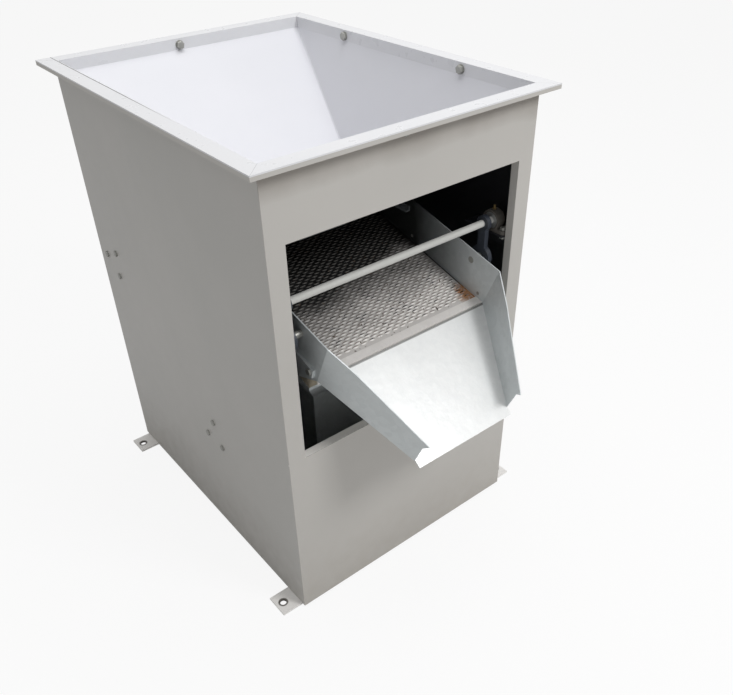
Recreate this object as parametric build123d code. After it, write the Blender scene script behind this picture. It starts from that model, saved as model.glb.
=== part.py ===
from build123d import *
import os
from math import acos, atan2, cos, degrees, hypot, pi, radians, sin, sqrt, tan

# Small destoner: a painted sheet steel cabinet with a wedge hopper in its top, an air-blown
# fish-scale deck that shakes fore and aft inside it, and a fan, eccentric shaft and motor below.
# Millimetres. X is to the right, Y to the back, Z up. The origin is on the floor, in the
# middle of the four foot bolt holes, which is also the middle of the cabinet.

# Cabinet sizes
cabinet_width = 500
cabinet_depth = 640
cabinet_height = 826
panel_sheet = 2
side_fold = 15
side_fold_below_top = 26
opening_width = 439
opening_sill_height = 347
opening_height = 367
opening_return = 15
service_opening_width = 300
service_opening_height = 150
service_opening_sill = 70

# Feet and base frame sizes
foot_thickness = 4
foot_width = 46
foot_reach = 40
foot_inner_reach = 38
foot_hole_diameter = 12
foot_hole_from_wall = 26
foot_from_cabinet_end = 32
base_angle_leg = 40
base_angle_thickness = 4
cross_rail_width = 40
cross_rail_thickness = 6
cross_rail_end_gap = 8

# Hopper and top flange sizes
rim_sheet = 2
hopper_sheet = 1.5
rim_overhang = 22.5
rim_overhang_rear = 25
rim_edge_height = 8
collar_depth = 17.5
collar_side_gap = 5
throat_width = 290
throat_length = 60
throat_front = 262
throat_above_screen = 46.8
collar_bolt_diameter = 8
collar_bolt_head = 13
collar_bolt_head_height = 5.3
collar_bolt_below_top = 11
collar_bolt_spacing = 313
collar_bolt_offset_x = -18

# Feed gate sizes
gate_thickness = 2
gate_length = 92
gate_side_lap = 3
gate_tab_width = 98
gate_tab_height = 16
gate_clearance = 0.4
gate_guide_sheet = 2
gate_guide_foot = 8
gate_travel = 55

# Deck sizes, where the deck slopes down towards the front
deck_slope = 14.8
deck_lip_behind_front = 14
deck_lip_height = 467.8
deck_half_width = 175.5
deck_rear_gap = 60.4
deck_side_height = 80
deck_side_rear_height = 73
deck_side_lean = 12
deck_side_below = 30
deck_skirt_start = 44
deck_sheet = 2
screen_sheet = 1.5
screen_side_gap = 0.3
scale_width = 27
scale_length = 26
scale_rise = 4
scale_sheet = 1
scale_pitch_across = 38
scale_pitch_along = 38
lip_gap = 1.2
lip_width = 17
lip_sheet = 2
lip_drop = 11
rail_height = 16
rail_thickness = 5
rail_centre_above_screen = 10
rail_start = 8
rear_wall_height = 70
stone_slot_width = 110
stone_slot_height = 32

# Clean grain spout sizes, each point measured from the front face and from the floor
spout_floor_half_width = 101.4
spout_floor_front = 125.3
spout_floor_front_height = 359.7
spout_floor_lip = 14
spout_shoulder_front = 59.2
spout_shoulder_height = 506.2
spout_tip_front = 153.6
spout_tip_height = 402.7
spout_notch_front = 141.7
spout_notch_height = 396

# Stone spout sizes
stone_spout_slope = 24
stone_spout_length = 92
stone_spout_side_height = 34
stone_opening_margin = 10

# Air box, sleeve and plenum sizes
air_box_sheet = 2
air_box_inset = 9
air_box_start = 30
air_box_end_gap = 60
air_box_depth = 30
support_bar_thickness = 3
support_bar_height = 18
support_bar_count = 5
sleeve_length = 22
sleeve_thickness = 2
plenum_sheet = 1.5
plenum_knee_drop = 5.2

# Fan sizes
fan_behind_front = 258
fan_height = 244
fan_half_width = 120
fan_sheet = 2
fan_scroll_start_radius = 114
fan_scroll_growth = 26
fan_tongue_angle = 48
fan_outlet_height = 350
fan_inlet_diameter = 130
fan_leg_width = 90
fan_rotor_radius = 100
fan_rotor_half_width = 100
fan_blade_count = 12
fan_blade_depth = 22
fan_blade_thickness = 2
fan_blade_lead_angle = 24
fan_disc_thickness = 3
fan_hub_diameter = 44
fan_hub_length = 40
fan_shaft_diameter = 20
wall_shaft_end_gap = 1

# Eccentric shaft and connecting rod sizes
eccentric_behind_pin = 14.5
eccentric_drop = 151
eccentric_shaft_diameter = 20
eccentric_throw = 3
eccentric_hub_diameter = 40
eccentric_hub_width = 14
rod_plane = 194
rod_thickness = 10
rod_pin_from_deck_end = 15
rod_big_end = 58
rod_small_end = 42
rod_bar_width = 22
bush_diameter = 30
pin_diameter = 12
pin_head_diameter = 18
pin_head_height = 7
rod_side_gap = 1

# Rocker shaft and hanger arm sizes
rocker_rise = 61
rocker_lead = 1
rocker_shaft_diameter = 12
rocker_shaft_end_gap = 16
hanger_plane = 201
hanger_thickness = 9
hanger_pivot_along = 50.8
hanger_pivot_above_screen = 59.2
hanger_top_eye = 26
hanger_bottom_eye = 40
hanger_bar_width = 16

# Pillow block sizes
block_length = 60
block_thickness = 16
block_foot_height = 7
block_centre_height = 19
block_waist_length = 30
block_waist_height = 9.5
block_corner_radius = 7
block_ring_diameter = 36
block_bolt_spacing = 46
block_bolt_diameter = 6
block_plane = 224
insert_diameter = 28
insert_width = 14
rail_bracket_leg = 34
rail_bracket_sheet = 3
rail_bracket_length = 88
rail_bracket_gap = 2

# Three-bolt flange bearing sizes
bearing_bolt_circle = 59
bearing_lobe_diameter = 20
bearing_flange_sheet = 3
bearing_cup_diameter = 44
bearing_cup_depth = 14
wall_bolt_diameter = 6
wall_bolt_head = 10
wall_bolt_head_height = 3.2
wall_nut_across_flats = 10
wall_nut_height = 5
eccentric_bolt_angle = 8
fan_bolt_angle = 95

# Motor and belt sizes
motor_behind_front = 510
motor_height = 92
motor_diameter = 130
motor_body_start = -110
motor_body_length = 200
motor_fin_count = 12
motor_fin_height = 5
motor_fin_width = 4
motor_fin_root = 1
motor_fin_end_gap = 5
motor_boss_diameter = 60
motor_boss_length = 14
motor_cowl_length = 34
motor_shaft_diameter = 19
motor_foot_width = 110
motor_foot_length = 120
motor_foot_thickness = 8
motor_foot_behind_cowl = 5
motor_pedestal_width = 55
motor_plate_length = 160
motor_plate_thickness = 5
terminal_box_size = 70
terminal_box_height = 34
terminal_box_corner_radius = 5
gland_diameter = 20
gland_length = 14
belt_width = 11
belt_depth = 8
belt_gap = 0.3
groove_flank_angle = 18
pulley_rim = 3.5
fan_belt_plane = 200
motor_eccentric_pulley_radius = 22
eccentric_pulley_radius = 52
motor_fan_pulley_radius = 40
fan_pulley_radius = 32

# Clearances
shaft_clearance = 0.05
pin_clearance = 0.25
bolt_hole_clearance = 0.5

# Places worked out from the sizes
wall = cabinet_width / 2
front = -cabinet_depth / 2
back = cabinet_depth / 2
inner_wall = wall - panel_sheet
panel_top = cabinet_height - rim_sheet
collar_half_width = wall - collar_side_gap
collar_half_length = cabinet_depth / 2 - collar_side_gap
collar_bottom = panel_top - collar_depth
collar_bolt_height = cabinet_height - collar_bolt_below_top
lip_y = front + deck_lip_behind_front
deck_frame = Pos(0, lip_y, deck_lip_height) * Rot(deck_slope, 0, 0)
deck_length = (back - deck_rear_gap - lip_y) / cos(radians(deck_slope))
fan_y = front + fan_behind_front
motor_y = front + motor_behind_front
base_top = foot_thickness + base_angle_thickness
cross_rail_top = base_top + cross_rail_thickness
motor_plate_top = base_top + motor_plate_thickness
bearing_face = inner_wall - bearing_flange_sheet
groove_top_width = belt_width + 2 * belt_gap
groove_flank = tan(radians(groove_flank_angle))
eccentric_belt_plane = fan_belt_plane + groove_top_width + 2 * pulley_rim
collar_hole_radius = collar_bolt_diameter / 2 + bolt_hole_clearance / 2
wall_hole_radius = wall_bolt_diameter / 2 + bolt_hole_clearance / 2
block_hole_radius = block_bolt_diameter / 2 + bolt_hole_clearance / 2


def block(x0, x1, y0, y1, z0, z1):
    """A box between two corners."""
    return Pos((x0 + x1) / 2, (y0 + y1) / 2, (z0 + z1) / 2) * Box(x1 - x0, y1 - y0, z1 - z0)


def rod_x(radius, x0, x1, y, z):
    """A round bar along X."""
    return Pos((x0 + x1) / 2, y, z) * Rot(0, 90, 0) * Cylinder(radius, x1 - x0)


def plate_x(outline, x0, x1):
    """A plate parallel to the side walls. The outline is drawn as (y, z)."""
    return extrude(Plane.YZ.offset(x0) * outline, x1 - x0)


def mirrored_pair(make):
    """The left and right version of a piece, from the side sign that its function takes."""
    return make(-1), make(1)


def span(side, near, far):
    """Two distances from the middle plane, in order along X, on the given side."""
    return (near, far) if side > 0 else (-far, -near)


def deck_place(along, above):
    """Y and Z of a point that is measured along the deck and square to it."""
    slope = radians(deck_slope)
    y = lip_y + along * cos(slope) - above * sin(slope)
    z = deck_lip_height + along * sin(slope) + above * cos(slope)
    return y, z


rod_pin_y, rod_pin_height = deck_place(deck_length - rod_pin_from_deck_end, rail_centre_above_screen)
eccentric_y = rod_pin_y + eccentric_behind_pin
eccentric_height = rod_pin_height - eccentric_drop
hanger_pivot_y, hanger_pivot_height = deck_place(hanger_pivot_along, hanger_pivot_above_screen)
rocker_y = hanger_pivot_y - rocker_lead
rocker_height = hanger_pivot_height + rocker_rise


# Cabinet panels
def triangle_places(y, z, first_angle):
    """The three bolt places of a flange bearing, as (y, z)."""
    reach = bearing_bolt_circle / 2
    angles = [radians(first_angle + 120 * turn) for turn in range(3)]
    return [(y + reach * cos(angle), z + reach * sin(angle)) for angle in angles]


wall_bolt_places = triangle_places(eccentric_y, eccentric_height, eccentric_bolt_angle)
wall_bolt_places += triangle_places(fan_y, fan_height, fan_bolt_angle)
side_collar_bolt_ys = [-collar_bolt_spacing / 2, collar_bolt_spacing / 2]


def side_panel(side):
    """Flat sheet with a fold at the front and the rear edge, which the end panels lie on."""
    x0, x1 = span(side, inner_wall, wall)
    panel = block(x0, x1, front + panel_sheet, back - panel_sheet, foot_thickness, panel_top)
    f0, f1 = span(side, inner_wall - side_fold, inner_wall)
    fold_top = panel_top - side_fold_below_top
    for y0 in (front + panel_sheet, back - 2 * panel_sheet):
        panel += block(f0, f1, y0, y0 + panel_sheet, foot_thickness, fold_top)
    for y, z in wall_bolt_places:
        panel -= rod_x(wall_hole_radius, x0, x1, y, z)
    for y in side_collar_bolt_ys:
        panel -= rod_x(collar_hole_radius, x0, x1, y, collar_bolt_height)
    return panel


def end_collar_hole(y0):
    """The hole for the collar bolt at the front or the rear."""
    hole = Cylinder(collar_hole_radius, 3 * panel_sheet)
    return Pos(collar_bolt_offset_x, y0 + panel_sheet / 2, collar_bolt_height) * Rot(90, 0, 0) * hole


def folded_opening(width, z0, z1, y0, y1):
    """The returns of an opening, which are folded inwards all round it."""
    half = width / 2
    outer = block(-half - panel_sheet, half + panel_sheet, y0, y1, z0 - panel_sheet, z1 + panel_sheet)
    return outer - block(-half, half, y0, y1, z0, z1)


def front_panel():
    """Front sheet with the work opening, whose edges are folded in."""
    panel = block(-wall, wall, front, front + panel_sheet, foot_thickness, panel_top)
    sill = opening_sill_height
    head = opening_sill_height + opening_height
    half = opening_width / 2
    panel -= block(-half, half, front, front + panel_sheet, sill, head)
    panel += folded_opening(opening_width, sill, head, front + panel_sheet, front + opening_return)
    return panel - end_collar_hole(front)


def stone_spout_frame():
    """Where the stone spout leaves the deck, sloping down to the back."""
    y, z = deck_place(deck_length, 0)
    return Pos(0, y, z) * Rot(-stone_spout_slope, 0, 0)


def stone_spout_height_at(y):
    """Height of the stone spout's floor at a place behind the deck."""
    start_y, start_z = deck_place(deck_length, 0)
    return start_z - (y - start_y) * tan(radians(stone_spout_slope))


stone_opening_half = stone_slot_width / 2 + deck_sheet + stone_opening_margin
upright_share = cos(radians(stone_spout_slope))
stone_opening_low = stone_spout_height_at(back) - deck_sheet / upright_share - stone_opening_margin
stone_opening_high = stone_spout_height_at(back - panel_sheet - side_fold) + stone_opening_margin
stone_opening_high += stone_spout_side_height / upright_share


def rear_panel():
    """Rear sheet with the stone outlet and the low opening for the motor and the air."""
    panel = block(-wall, wall, back - panel_sheet, back, foot_thickness, panel_top)
    half = stone_opening_half
    low, high = stone_opening_low, stone_opening_high
    panel -= block(-half, half, back - panel_sheet, back, low, high)
    panel += folded_opening(2 * half, low, high, back - panel_sheet - side_fold, back - panel_sheet)
    sill = service_opening_sill
    service_half = service_opening_width / 2
    top = sill + service_opening_height
    panel -= block(-service_half, service_half, back - panel_sheet, back, sill, top)
    return panel - end_collar_hole(back - panel_sheet)


# Base frame and feet
def base_frame():
    """Welded ring of angle iron with two cross rails under the fan."""
    y_end = back - 2 * panel_sheet
    leg = base_angle_leg
    wide = base_angle_thickness
    z0 = foot_thickness
    ring = block(-inner_wall, inner_wall, -y_end, y_end, z0, z0 + leg)
    ring -= block(-inner_wall + wide, inner_wall - wide, -y_end + wide, y_end - wide, base_top, z0 + leg)
    ring -= block(-inner_wall + leg, inner_wall - leg, -y_end + leg, y_end - leg, z0, base_top)
    rail_end = inner_wall - wide - cross_rail_end_gap
    for y in fan_leg_ys():
        y0, y1 = y - cross_rail_width / 2, y + cross_rail_width / 2
        ring += block(-rail_end, rail_end, y0, y1, base_top, cross_rail_top)
    return ring


def fan_leg_ys():
    """The middles of the two cross rails, under the fan's legs."""
    return [fan_y - fan_leg_width / 2, fan_y + fan_leg_width / 2]


def foot(side, end):
    """Flat tab welded under the base frame, with one bolt hole outside the wall."""
    x0, x1 = span(side, wall - foot_inner_reach, wall + foot_reach)
    y = end * (cabinet_depth / 2 - foot_from_cabinet_end)
    tab = block(x0, x1, y - foot_width / 2, y + foot_width / 2, 0, foot_thickness)
    hole_x = side * (wall + foot_hole_from_wall)
    return tab - Pos(hole_x, y, foot_thickness / 2) * Cylinder(foot_hole_diameter / 2, foot_thickness)


def mounting_feet():
    """The four feet."""
    return Compound(children=[foot(side, end) for side in (-1, 1) for end in (-1, 1)])


# Hopper and top flange
def top_flange():
    """Flange round the top of the walls, with its outer edge turned down."""
    top = panel_top
    outer = wall + rim_overhang
    y0, y1 = front - rim_overhang, back + rim_overhang_rear
    low = cabinet_height - rim_edge_height
    ring = block(-outer, outer, y0, y1, low, top)
    inner = outer - rim_sheet
    ring -= block(-inner, inner, y0 + rim_sheet, y1 - rim_sheet, low, top - rim_sheet)
    return ring - block(-wall, wall, front, back, top - rim_sheet, top)


throat_y0 = front + throat_front
throat_y1 = throat_y0 + throat_length
throat_height = deck_lip_height + (throat_y1 - lip_y) * tan(radians(deck_slope)) + throat_above_screen
hopper_drop = collar_bottom - throat_height
hopper_side_run = (collar_half_width - throat_width / 2) / hopper_drop
throat_outer_half = throat_width / 2 + hopper_sheet * sqrt(1 + hopper_side_run ** 2)


def flat_sided(low, high):
    """A solid between two outlines of four points each, with flat faces all round."""
    faces = [Face(Wire.make_polygon(low)), Face(Wire.make_polygon(high))]
    for corner in range(4):
        after = (corner + 1) % 4
        faces.append(Face(Wire.make_polygon([low[corner], low[after], high[after], high[corner]])))
    return Solid(Shell(faces))


def outline_at(half_x, y0, y1, z):
    """The four corners of a level rectangle, front left first and then round."""
    return [(-half_x, y0, z), (half_x, y0, z), (half_x, y1, z), (-half_x, y1, z)]


def hopper_sheets():
    """The hopper's four sloping sheets, mitred and welded along their edges."""
    grow_x = throat_outer_half - throat_width / 2
    front_run = (throat_y0 + collar_half_length) / hopper_drop
    back_run = (collar_half_length - throat_y1) / hopper_drop
    grow_front = hopper_sheet * sqrt(1 + front_run ** 2)
    grow_back = hopper_sheet * sqrt(1 + back_run ** 2)
    half_low, half_high = throat_width / 2, collar_half_width
    y0, y1 = -collar_half_length, collar_half_length
    inner_low = outline_at(half_low, throat_y0, throat_y1, throat_height)
    inner_high = outline_at(half_high, y0, y1, collar_bottom)
    outer_low = outline_at(half_low + grow_x, throat_y0 - grow_front, throat_y1 + grow_back, throat_height)
    outer_high = outline_at(half_high + grow_x, y0 - grow_front, y1 + grow_back, collar_bottom)
    sheets = []
    for corner in range(4):
        after = (corner + 1) % 4
        low = [inner_low[corner], inner_low[after], outer_low[after], outer_low[corner]]
        high = [inner_high[corner], inner_high[after], outer_high[after], outer_high[corner]]
        sheets.append(flat_sided(low, high))
    return Compound(children=sheets)


def hopper_frame():
    """The hopper's upright collar and flat rim: four folded strips, mitred at the corners."""
    thick = hopper_sheet
    outer_x = wall + rim_overhang
    y0, y1 = front - rim_overhang, back + rim_overhang_rear
    frame = block(-outer_x, outer_x, y0, y1, panel_top, cabinet_height)
    half_x, half_y = collar_half_width + thick, collar_half_length + thick
    frame += block(-half_x, half_x, -half_y, half_y, collar_bottom, panel_top)
    frame -= block(-collar_half_width, collar_half_width, -collar_half_length, collar_half_length,
                   collar_bottom, cabinet_height)
    for side in (-1, 1):
        x0, x1 = span(side, collar_half_width, collar_half_width + thick)
        for y in side_collar_bolt_ys:
            frame -= rod_x(collar_hole_radius, x0, x1, y, collar_bolt_height)
    hole = Cylinder(collar_hole_radius, 2 * half_y + 2 * thick)
    frame -= Pos(collar_bolt_offset_x, 0, collar_bolt_height) * Rot(90, 0, 0) * hole
    inner = outline_at(collar_half_width, -collar_half_length, collar_half_length, collar_bottom)
    outer = outline_at(outer_x, y0, y1, collar_bottom)
    strips = []
    for corner in range(4):
        after = (corner + 1) % 4
        quarter = Face(Wire.make_polygon([inner[corner], inner[after], outer[after], outer[corner]]))
        strips.append(frame & extrude(quarter, cabinet_height, dir=(0, 0, 1)))
    return Compound(children=strips)


def hex_bar(across_flats, x0, x1, y, z):
    """A six-sided bar along X, for bolt heads and nuts."""
    return plate_x(Pos(y, z) * RegularPolygon(across_flats / 2, 6, major_radius=False), x0, x1)


def collar_bolt():
    """Bolt and nut along +X, with the collar's inner face at X = 0."""
    grip = collar_side_gap
    bolt = hex_bar(collar_bolt_head, -collar_bolt_head_height, 0, 0, 0)
    bolt += rod_x(collar_bolt_diameter / 2, 0, grip, 0, 0)
    return bolt + hex_bar(collar_bolt_head, grip, grip + collar_bolt_head_height, 0, 0)


def collar_bolts():
    """Six bolts that hold the hopper's collar to the walls."""
    bolt = collar_bolt()
    bolts = []
    for y in side_collar_bolt_ys:
        bolts.append(Pos(collar_half_width, y, collar_bolt_height) * bolt)
        bolts.append(Pos(-collar_half_width, y, collar_bolt_height) * Rot(0, 0, 180) * bolt)
    bolts.append(Pos(collar_bolt_offset_x, collar_half_length, collar_bolt_height) * Rot(0, 0, 90) * bolt)
    bolts.append(Pos(collar_bolt_offset_x, -collar_half_length, collar_bolt_height) * Rot(0, 0, -90) * bolt)
    return Compound(children=bolts)


# Feed gate
gate_top = throat_height - gate_clearance
gate_half_width = throat_width / 2 + gate_side_lap
gate_y1 = throat_y1 + gate_side_lap
gate_y0 = gate_y1 - gate_length


def gate_guides():
    """Two angles welded to the hopper's side walls, on whose feet the gate slides."""
    sheet = gate_guide_sheet
    near = gate_half_width + gate_clearance
    low = gate_top - gate_thickness - gate_clearance - sheet
    web_top = throat_height + (near - throat_outer_half) / hopper_side_run
    guides = []
    for side in (-1, 1):
        x0, x1 = span(side, near, near + sheet)
        web = block(x0, x1, gate_y0 - gate_travel, gate_y1, low, web_top)
        x0, x1 = span(side, near - gate_guide_foot, near)
        foot_strip = block(x0, x1, gate_y0 - gate_travel, gate_y1, low, low + sheet)
        guides.append(web + foot_strip)
    return Compound(children=guides)


def feed_gate():
    """Slide plate under the throat, with a bent tab at its front to pull it open."""
    half = gate_half_width
    plate = block(-half, half, gate_y0, gate_y1, gate_top - gate_thickness, gate_top)
    tab_half = gate_tab_width / 2
    tab_low = gate_top - gate_thickness - gate_tab_height
    return plate + block(-tab_half, tab_half, gate_y0, gate_y0 + gate_thickness, tab_low, gate_top)


# Deck, its screen and its two spouts
rail_bolt_places = [deck_place(along, rail_centre_above_screen)
                    for along in (rail_start + rail_height / 2, deck_length / 3, 2 * deck_length / 3)]


def deck_side(side):
    """One folded sheet: the upright beside the screen, and the side of the front spout."""
    x0, x1 = span(side, deck_half_width, deck_half_width + deck_sheet)
    outline = [(0, 0), (deck_skirt_start, -deck_side_below), (deck_length, -deck_side_below),
               (deck_length, deck_side_rear_height), (-deck_side_lean, deck_side_height)]
    upright = plate_x(make_face(Polyline(*outline, close=True)), x0, x1)
    upright = deck_frame * upright
    face = Face(Wire.make_polygon(spout_side_points(side)))
    spout = extrude(face, deck_sheet, dir=(side, 0, 0))
    plate = upright + spout
    for y, z in ((hanger_pivot_y, hanger_pivot_height), (rod_pin_y, rod_pin_height)):
        plate -= rod_x(pin_diameter / 2, x0, x1, y, z)
    for y, z in rail_bolt_places:
        plate -= rod_x(wall_hole_radius, x0, x1, y, z)
    return plate


def spout_corner(ahead, height):
    """A point of the spout's side: its X follows from the plane of that side."""
    top_y, top_z = deck_place(-deck_side_lean, deck_side_height)
    fold_y, fold_z = top_y - lip_y, top_z - deck_lip_height
    run_x = spout_floor_half_width - deck_half_width
    run_y = front - spout_floor_front - lip_y
    run_z = spout_floor_front_height - deck_lip_height
    normal_x = fold_y * run_z - fold_z * run_y
    normal_y = fold_z * run_x
    normal_z = -fold_y * run_x
    y = front - ahead
    x = deck_half_width - (normal_y * (y - lip_y) + normal_z * (height - deck_lip_height)) / normal_x
    return x, y, height


def spout_side_points(side):
    """The spout's side, from the fold at the deck's lip round to the floor's front corner."""
    top_y, top_z = deck_place(-deck_side_lean, deck_side_height)
    corners = [(deck_half_width, lip_y, deck_lip_height), (deck_half_width, top_y, top_z),
               spout_corner(spout_shoulder_front, spout_shoulder_height),
               spout_corner(spout_tip_front, spout_tip_height),
               spout_corner(spout_notch_front, spout_notch_height),
               spout_corner(spout_floor_front, spout_floor_front_height)]
    return [(side * x, y, z) for x, y, z in corners]


def spout_floor():
    """Tapered floor of the front spout, with a short lip past its sides."""
    wide, narrow = deck_half_width, spout_floor_half_width
    front_y = front - spout_floor_front
    slope = atan2(deck_lip_height - spout_floor_front_height, lip_y - front_y)
    tip_y = front_y - spout_floor_lip * cos(slope)
    tip_z = spout_floor_front_height - spout_floor_lip * sin(slope)
    points = [(-wide, lip_y, deck_lip_height), (wide, lip_y, deck_lip_height),
              (narrow, front_y, spout_floor_front_height), (narrow, tip_y, tip_z),
              (-narrow, tip_y, tip_z), (-narrow, front_y, spout_floor_front_height)]
    face = Face(Wire.make_polygon(points))
    return extrude(face, deck_sheet, dir=(0, sin(slope), -cos(slope)))


scale_inner_share = (scale_rise - scale_sheet) / scale_rise


def scale_cone(share):
    """A fish scale's form, at a share of its full size about the middle of its mouth."""
    half = share * scale_width / 2
    mouth = Polyline((0, -half, 0), (0, half, 0), (0, 0, share * scale_rise), close=True)
    cone = loft([make_face(mouth), Vertex(-share * scale_length, 0, 0)])
    return Rot(0, 0, 90) * cone


def scale_places():
    """The middle of each scale's mouth, row by row, every second row shifted half a pitch."""
    places = []
    first = lip_width + scale_length
    rows = int((deck_length - deck_sheet - first) // scale_pitch_along) + 1
    for row in range(rows):
        count = int((2 * deck_half_width - scale_width) // scale_pitch_across) + 1 - row % 2
        for number in range(count):
            across = (number - (count - 1) / 2) * scale_pitch_across
            places.append((across, first + row * scale_pitch_along))
    return places


def fish_scale_screen():
    """Pressed screen sheet: rows of raised scales, each with its air slot beneath."""
    half = deck_half_width - screen_side_gap
    y0, y1 = lip_gap + lip_sheet, deck_length - deck_sheet
    slot_half = scale_inner_share * scale_width / 2
    slot_length = scale_inner_share * scale_length
    places = scale_places()
    slots = [Wire.make_polygon([(x - slot_half, y), (x, y - slot_length), (x + slot_half, y)])
             for x, y in places]
    outline = Wire.make_polygon([(-half, y0), (half, y0), (half, y1), (-half, y1)])
    plate = extrude(Face(outline, slots), -screen_sheet)
    hood = scale_cone(1) - scale_cone(scale_inner_share)
    return deck_frame * (plate + [Pos(x, y, 0) * hood for x, y in places])


def deck_lip():
    """Folded strip over the screen's front edge."""
    half = deck_half_width - screen_side_gap
    strip = block(-half, half, lip_gap, lip_width, 0, lip_sheet)
    strip += block(-half, half, lip_gap, lip_gap + lip_sheet, -lip_drop, lip_sheet)
    return deck_frame * strip


def deck_rail(side):
    """Flat bar bolted along the outside of the deck's side, which carries the rod pins."""
    near = deck_half_width + deck_sheet
    x0, x1 = span(side, near, near + rail_thickness)
    low = rail_centre_above_screen - rail_height / 2
    bar = deck_frame * block(x0, x1, rail_start, deck_length, low, low + rail_height)
    for y, z in rail_bolt_places:
        bar -= rod_x(wall_hole_radius, x0, x1, y, z)
    return bar - rod_x(pin_diameter / 2, x0, x1, rod_pin_y, rod_pin_height)


def rail_bolts():
    """Bolts that hold the rails to the deck's sides."""
    bolts = []
    near = deck_half_width + deck_sheet + rail_thickness
    for side in (-1, 1):
        h0, h1 = span(side, near, near + wall_bolt_head_height)
        s0, s1 = span(side, deck_half_width, near)
        for y, z in rail_bolt_places:
            bolts.append(hex_bar(wall_bolt_head, h0, h1, y, z) + rod_x(wall_bolt_diameter / 2, s0, s1, y, z))
    return Compound(children=bolts)


def deck_rear_wall():
    """Wall at the high end of the screen, with the slot that lets the stones out."""
    half = deck_half_width - screen_side_gap
    wall_sheet = block(-half, half, deck_length - deck_sheet, deck_length, -deck_side_below, rear_wall_height)
    slot_half = stone_slot_width / 2
    wall_sheet -= block(-slot_half, slot_half, deck_length - deck_sheet, deck_length, 0, stone_slot_height)
    return deck_frame * wall_sheet


def stone_spout():
    """Small open channel behind the stone slot."""
    half = stone_slot_width / 2
    reach = stone_spout_length
    start = -stone_spout_side_height
    channel = block(-half - deck_sheet, half + deck_sheet, start, reach, -deck_sheet, stone_spout_side_height)
    channel -= block(-half, half, start, reach, 0, stone_spout_side_height)
    channel = stone_spout_frame() * channel
    return channel - deck_frame * block(-wall, wall, -deck_length, deck_length, -deck_length, deck_length)


# Air box, sleeve and plenum
air_half = deck_half_width - air_box_inset
air_end = deck_length - air_box_end_gap


def ring_block(half, y0, y1, z0, z1, sheet):
    """A rectangular sheet ring, open at the top and the bottom."""
    outer = block(-half, half, y0, y1, z0, z1)
    return outer - block(-half + sheet, half - sheet, y0 + sheet, y1 - sheet, z0, z1)


def air_box():
    """Skirt under the screen, with a flange that the screen lies on."""
    skirt = ring_block(air_half, air_box_start, air_end, -air_box_depth, -screen_sheet, air_box_sheet)
    flange_half = deck_half_width - screen_side_gap
    low = -screen_sheet - air_box_sheet
    flange = block(-flange_half, flange_half, air_box_start, air_end, low, -screen_sheet)
    flange -= block(-air_half, air_half, air_box_start, air_end, low, -screen_sheet)
    return deck_frame * (skirt + flange)


def screen_support_bars():
    """Flat bars on edge across the air box, which stiffen the screen."""
    half = air_half - air_box_sheet
    pitch = (air_end - air_box_start) / (support_bar_count + 1)
    bars = []
    for number in range(support_bar_count):
        middle = air_box_start + pitch * (number + 1)
        y0, y1 = middle - support_bar_thickness / 2, middle + support_bar_thickness / 2
        bar = block(-half, half, y0, y1, -screen_sheet - support_bar_height, -screen_sheet)
        bars.append(deck_frame * bar)
    return Compound(children=bars)


def air_sleeve():
    """Soft sleeve that joins the moving air box to the fixed plenum."""
    low = -air_box_depth - sleeve_length
    return deck_frame * ring_block(air_half, air_box_start, air_end, low, -air_box_depth, sleeve_thickness)


outlet_front = fan_y - fan_scroll_start_radius - fan_scroll_growth
outlet_back = fan_y + fan_scroll_start_radius * cos(radians(fan_tongue_angle))


def plenum_form(grow):
    """The plenum as a solid: a tapered foot on the fan outlet and an upright part cut to the slope."""
    front_y, low_z = deck_place(air_box_start, -air_box_depth - sleeve_length)
    rear_y = deck_place(air_end, -air_box_depth - sleeve_length)[0]
    half = air_half - plenum_sheet + grow
    y0, y1 = front_y + plenum_sheet - grow, rear_y - plenum_sheet + grow
    low = outline_at(fan_half_width + grow, outlet_front - grow, outlet_back + grow, fan_outlet_height)
    knee = low_z - plenum_knee_drop
    form = flat_sided(low, outline_at(half, y0, y1, knee)) + block(-half, half, y0, y1, knee, panel_top)
    top = -air_box_depth - sleeve_length
    return form - deck_frame * block(-wall, wall, -deck_length, 2 * deck_length, top, top + panel_top)


def air_plenum():
    """Sheet duct that widens from the fan outlet to the whole underside of the deck."""
    return plenum_form(plenum_sheet) - plenum_form(0)


# Fan
def scroll_radius(angle):
    """Radius of the fan scroll, which grows from the tongue round to the front."""
    sweep = (fan_tongue_angle - angle) / (fan_tongue_angle + 180)
    return fan_scroll_start_radius + fan_scroll_growth * sweep


def scroll_point(angle, grow):
    """A point of the scroll, grown outwards by a distance."""
    reach = scroll_radius(angle) + grow
    return fan_y + reach * cos(radians(angle)), fan_height + reach * sin(radians(angle))


def scroll_curve(grow):
    """The scroll's curve from the tongue round the bottom to the front."""
    steps = 8
    turn = (fan_tongue_angle + 180) / steps
    points = [scroll_point(fan_tongue_angle - turn * step, grow) for step in range(steps + 1)]
    return Spline(*points)


def scroll_face(grow):
    """The scroll's outline with its outlet, closed at the top."""
    curve = scroll_curve(grow)
    tongue = scroll_point(fan_tongue_angle, grow)
    last = scroll_point(-180, grow)
    top = fan_outlet_height
    edges = curve + Polyline(last, (last[0], top), (tongue[0], top), tongue)
    return make_face(edges)


def fan_scroll():
    """The scroll's wrap: one rolled sheet, open at the top, welded between the two end plates."""
    half = fan_half_width - fan_sheet
    wrap = plate_x(scroll_face(0) - scroll_face(-fan_sheet), -half, half)
    mouth = block(-half, half, outlet_front + fan_sheet, outlet_back - fan_sheet,
                  fan_outlet_height - fan_sheet, fan_outlet_height)
    return wrap - mouth


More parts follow.
